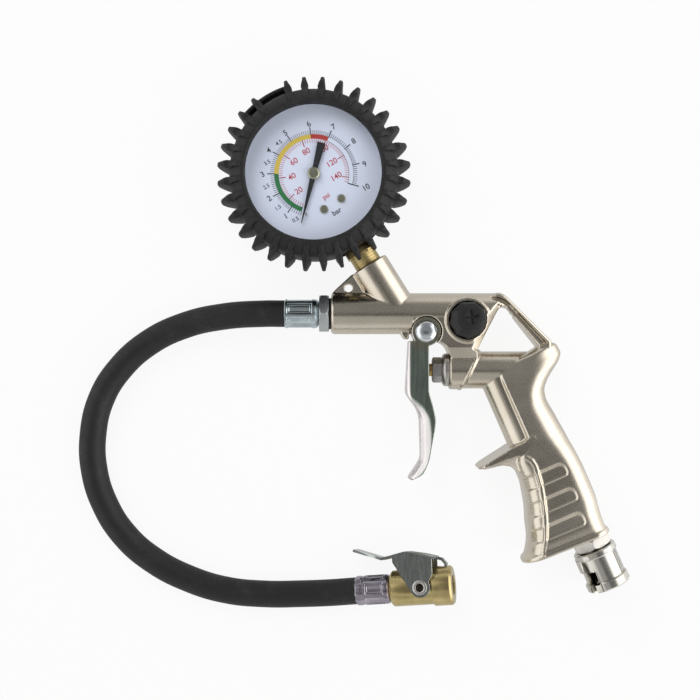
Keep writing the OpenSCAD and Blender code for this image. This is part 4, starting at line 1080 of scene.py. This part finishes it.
def makeDial(s):
    heights = s["heights"]
    black = ticks(s, [barAngle(s, k / 10) for k in range(5, 101)], *s["tenths"])
    black += ticks(s, [s["bar"][k] for k in s["bar"] if k >= 1], *s["wholes"])
    black += [band(s, "arc", radii, 7, 10) for radii in s["arcs"]]
    black += ticks(s, [s["bar"][10]], *s["last"])
    for text, spot in s["numbers"].items():
        black.append(words(s, text, spot, heights["half" if ".5" in text else "bar"]))
    black.append(words(s, "bar", s["units"]["bar"], heights["barUnit"]))
    red = []
    for marks, sizes in ((range(8, 145, 2), s["twos"]), (range(20, 141, 20), s["twenties"])):
        red += ticks(s, [barAngle(s, k / s["psiPerBar"]) for k in marks], *sizes)
    for text, spot in s["pounds"].items():
        red.append(words(s, text, spot, heights["pounds"]))
    red.append(words(s, "psi", s["units"]["psi"], heights["psiUnit"]))
    dress(join("dialNumbersBlack", black), "black", "black_paint")
    dress(join("dialNumbersRed", red), "red", "dial")
    for name, (low, high) in s["bands"].items():
        dress(band(s, "band" + name, s["bandR"], low, high), name.lower() + "Band", "dial")


makeDial(dialSettings)

threadSettings = {"from": 42.2, "to": 48.3, "pitch": 1.34, "crest": 6.57, "root": 5.95,
        "inside": 5.5, "flat": (0.4, 0.6)}


def makeSocket(s):
    socket = softCopy("gauge_socket", "gaugeStem", 0.35, 2)
    profile, at = [(s["inside"], s["from"])], s["from"]
    while at < s["to"] - s["pitch"]:
        profile.append((s["root"], at))
        profile += [(s["crest"], at + s["pitch"] * share) for share in s["flat"]]
        at += s["pitch"]
    profile += [(s["root"], at), (s["inside"], at)]
    thread = smooth(lathe("thread", profile, alongStem, 64, closed=True), 50)
    return dress(join("gaugeStem", [socket, thread]), "socket", "brass", "gauge_socket")


makeSocket(threadSettings)
print("gauge made")

dressCopy("hose_fitting", "hoseHex", 0.25, "hexZinc", "zinc")
dressCopy("fitting_washer", "hoseWasher", 0.15, "rubber", "rubber")

ferruleSettings = {
    "outside": 7.0, "mouth": 3, "bore": 4.0, "barb": 11.2, "shoulder": 2.4, "around": 180,
    "step": 0.2, "panelEnds": (1.1, 3.2), "panelHalf": 2.9, "panelDepth": 0.4, "panelInner": 0.26,
    # name, length, place, turn of the panels, collar
    "gun": ("gunFerrule", 16.3, alongBarrel @ shift(0, 0, -14.2 - 7.7), 158, 0),
    "chuck": ("chuckFerrule", 17.2, alongChuck, 175, 4),
}


def makeFerrule(s, name, length, place, phase, collar):
    # a crimped sleeve with six sunk panels, and a ten sided collar where collar is above 0
    low, high = collar + s["panelEnds"][0], length - s["panelEnds"][1]
    degrees = [360 * k / s["around"] for k in range(s["around"])]

    def ring(d):
        shoulder = s["shoulder"] - min(s["shoulder"], max(0, length - d))
        curve = math.sqrt(max(0.02, s["shoulder"] ** 2 - shoulder ** 2))
        points = []
        for a in degrees:
            r = s["outside"] - 0.06 - s["shoulder"] + curve
            side = ((a - phase + 30) % 60 - 30) * math.pi / 180 * s["outside"]
            if d > low - 0.8:
                over = max(abs(side) - s["panelHalf"], low - d, d - high)
                r -= s["panelDepth"] * ramp(-over, 0, 0.4)
                r -= s["panelInner"] * ramp(-over - 1, 0, 0.3)
            elif collar:
                tilt = math.radians((a - phase + 18) % 36 - 18)
                facet = s["outside"] * math.cos(math.radians(18)) / math.cos(tilt) + 0.15
                r = min(r, facet) - 0.3 * ramp(d, collar - 1.2, collar - 0.3)
                r -= 0.6 * (1 - ramp(d, 0, 0.7))
            else:
                r -= 0.5 * (1 - ramp(d, 0, 0.6))
            points.append((*polar(r, a), d))
        return points

    def hole(r, d):
        return [(*polar(r, a), d) for a in degrees]

    steps = int(length / s["step"])
    rings = [hole(s["mouth"], 0.02)] + [ring(length * k / steps) for k in range(steps + 1)]
    rings += [hole(s["bore"], length), hole(s["bore"], length - s["barb"])]
    return smooth(skinOver(name, rings, place), 38)


gunFerrule = makeFerrule(ferruleSettings, *ferruleSettings["gun"])
dress(gunFerrule, "zincBlue", "zinc", "gun_ferrule")
chuckFerrule = makeFerrule(ferruleSettings, *ferruleSettings["chuck"])
dress(chuckFerrule, "zincPurple", "zinc", "chuck_ferrule")

chuckBody = dressCopy("chuck_body", "chuckBody", 0.3, "chuck", "brass", segments=3)
chuckClip = dressCopy("chuck_clip", "chuckClip", 0.25, "clip", "steel", "clip")
chuckRivet = dressCopy("chuck_rivet", "chuckRivet", 0.3, "rivet", "zinc", segments=3)
print("chuck made")

hexSettings = {"edge": 0.25, "near": 0.3, "insideR": 7, "deeper": 1.8}


def makeInletHex(s):
    # the hex goes on into the slanted foot
    inletHex = softCopy("inlet_adapter", "inletHex", s["edge"])
    foot = inGrip.inverted()

    def atFoot(place):
        x, y, z = (foot @ (place * mm)) / mm
        return abs(y) < s["near"] and math.hypot(x, z - middleZ) > s["insideR"]

    edit(inletHex, "vertices", atFoot)
    bpy.ops.transform.translate(value=(inGrip.to_3x3() @ Vector((0, s["deeper"], 0))) * mm)
    leave()
    return dress(inletHex, "hexNickel", "nickel", "inlet_adapter")


makeInletHex(hexSettings)

couplerSettings = {
    "profile": [(6.1, 5.6), (9.7, 5.6), (10.2, 6.2), (10.2, 8.3), (9.9, 8.8), (9.5, 8.9), (9.5, 19.85),
        (9.15, 20), (9.15, 20.3), (9.9, 20.4), (10.2, 20.8), (10.2, 24.1), (9.6, 24.8), (6.3, 24.8),
        (6.3, 14.1), (6.1, 14.1)],
    # inner and outer radius, start and end angle, low and high: raised pads, then grooves,
    # the sunk field, the bayonet slot and its way out
    "pads": [(9, 10.6, 154, 203, 8.2, 14.3), (9, 10.6, 156, 198, 21.2, 24)],
    "cuts": [(9.05, 11, 42.2, 45.4, 9.3, 20.2), (9.05, 11, 116.6, 119.8, 9.2, 24.9),
        (8.55, 11, 119, 153, 9.2, 14.8), (4, 11.5, 121, 158, 14.8, 20.9), (4, 11.5, 136, 153, 20, 26)],
}


def makeCoupler(s):
    body = lathe("couplerBody", s["profile"], alongInlet, 96, closed=True)
    for pad in s["pads"]:
        carve(body, sector("pad", *pad, alongInlet), how="UNION")
    carve(body, *[sector("cut", *cut, alongInlet) for cut in s["cuts"]])
    soften(body, 0.13, 2, 30)
    return dress(body, "coupler", "nickel", "coupler_body")


makeCoupler(couplerSettings)
print("inlet made")

lightSettings = {
    # name, place, size, power
    "lamps": [("keyLamp", (-0.5, 0.75, 1.0), 0.9, 7.0), ("fillLamp", (0.9, -0.5, 0.9), 0.9, 4.0)],
    "aim": (0.02, -0.08, 0),
    # strength of the sky's parts as metal mirrors them, and of what lights the rest
    "zenith": 0.09, "middle": 0.25, "horizon": 0.85, "left": 1.35, "right": 2.1, "around": 0.55,
    "patch": (0.27, 0.155, -0.115),
    "floorSize": 6, "floorHeight": -0.0002, "floorDark": (0.86, 0.86, 0.86),
    "floorPale": (0.9, 0.9, 0.9), "floorGlow": 0.9, "floorGloss": (0.7, 1.3), "glossSpan": (0.12, 0.2),
}


def makeFloor(s):
    only(None)
    bpy.ops.mesh.primitive_plane_add(size=s["floorSize"], location=(0, 0, s["floorHeight"]))
    floor = named("paleFloor")
    f = Finish("paleFloor")
    colour = f.mix(f.noise(patterns["hair"], 2), s["floorDark"], s["floorPale"])
    matt = f.node("BsdfDiffuse", None, {"Color": colour})
    camera, glossy, through = (f.node("LightPath", out=name) for name in
            ("Is Camera Ray", "Is Glossy Ray", "Is Transmission Ray"))
    low, high = s["floorGloss"]
    gloss = low + f.axis(f.spot(), 0).between(*s["glossSpan"]) * (high - low)
    glow = f.node("Emission", None, {"Color": [1, 1, 1, 1], "Strength": 1 - glossy * (1 - gloss)})
    seen = (camera + glossy + through > 0.5) * s["floorGlow"]
    floor.data.materials.append(f.show(f.node("MixShader", None, {0: seen, 1: matt, 2: glow})))


def makeWorld(s):
    world = bpy.data.worlds.new("softStudio")
    world.use_nodes = True
    bpy.context.scene.world = world
    f = Finish("softStudio", world.node_tree)
    away = f.node("TexCoord", out="Generated")
    east, north, up = (f.axis(away, k) for k in range(3))
    glossy = f.node("LightPath", out="Is Glossy Ray")
    straight = (f.node("LightPath", out="Is Camera Ray")
            + f.node("LightPath", out="Is Transmission Ray")) > 0.5
    # a small dark patch overhead, and soft boxes left and right that reach higher than the rest
    wide, deep, middle = s["patch"]
    a, b = east * (1 / wide), (north - middle) * (1 / deep)
    overhead = 1 - (a * a + b * b).between(0.4, 1.5)
    sideways = (east * east / (1.02 - up * up)).between(0.2, 0.7)
    lit = 1 - up.between(0.15, 0.6) * (1 - (1 - north.between(-0.35, -0.1)) * 0.4)
    ends = s["middle"] + lit * (s["horizon"] - s["middle"])
    side = s["left"] + east.between(-0.1, 0.1) * (s["right"] - s["left"])
    boxes = s["middle"] + (1 - up.between(0.7, 0.9)) * (side - s["middle"])
    sky = sideways * boxes + (1 - sideways) * ends
    sky = overhead * s["zenith"] + (1 - overhead) * sky
    strength = glossy * sky + (1 - glossy) * s["around"]
    strength = straight + (1 - straight) * strength
    f.show(f.node("Background", None, {"Color": [1, 1, 1, 1], "Strength": strength}),
           "OutputWorld")


def makeLamps(s):
    for name, place, size, power in s["lamps"]:
        only(None)
        bpy.ops.object.light_add(type="AREA", location=place)
        lamp = named(name)
        lamp.data.size, lamp.data.energy = size, power
        towards = Vector(s["aim"]) - Vector(place)
        lamp.rotation_euler = towards.to_track_quat("-Z", "Y").to_euler()
        lamp.visible_glossy = False


makeFloor(lightSettings)
makeWorld(lightSettings)
makeLamps(lightSettings)
bpy.context.scene.view_settings.view_transform = "Standard"
print("stage lit")
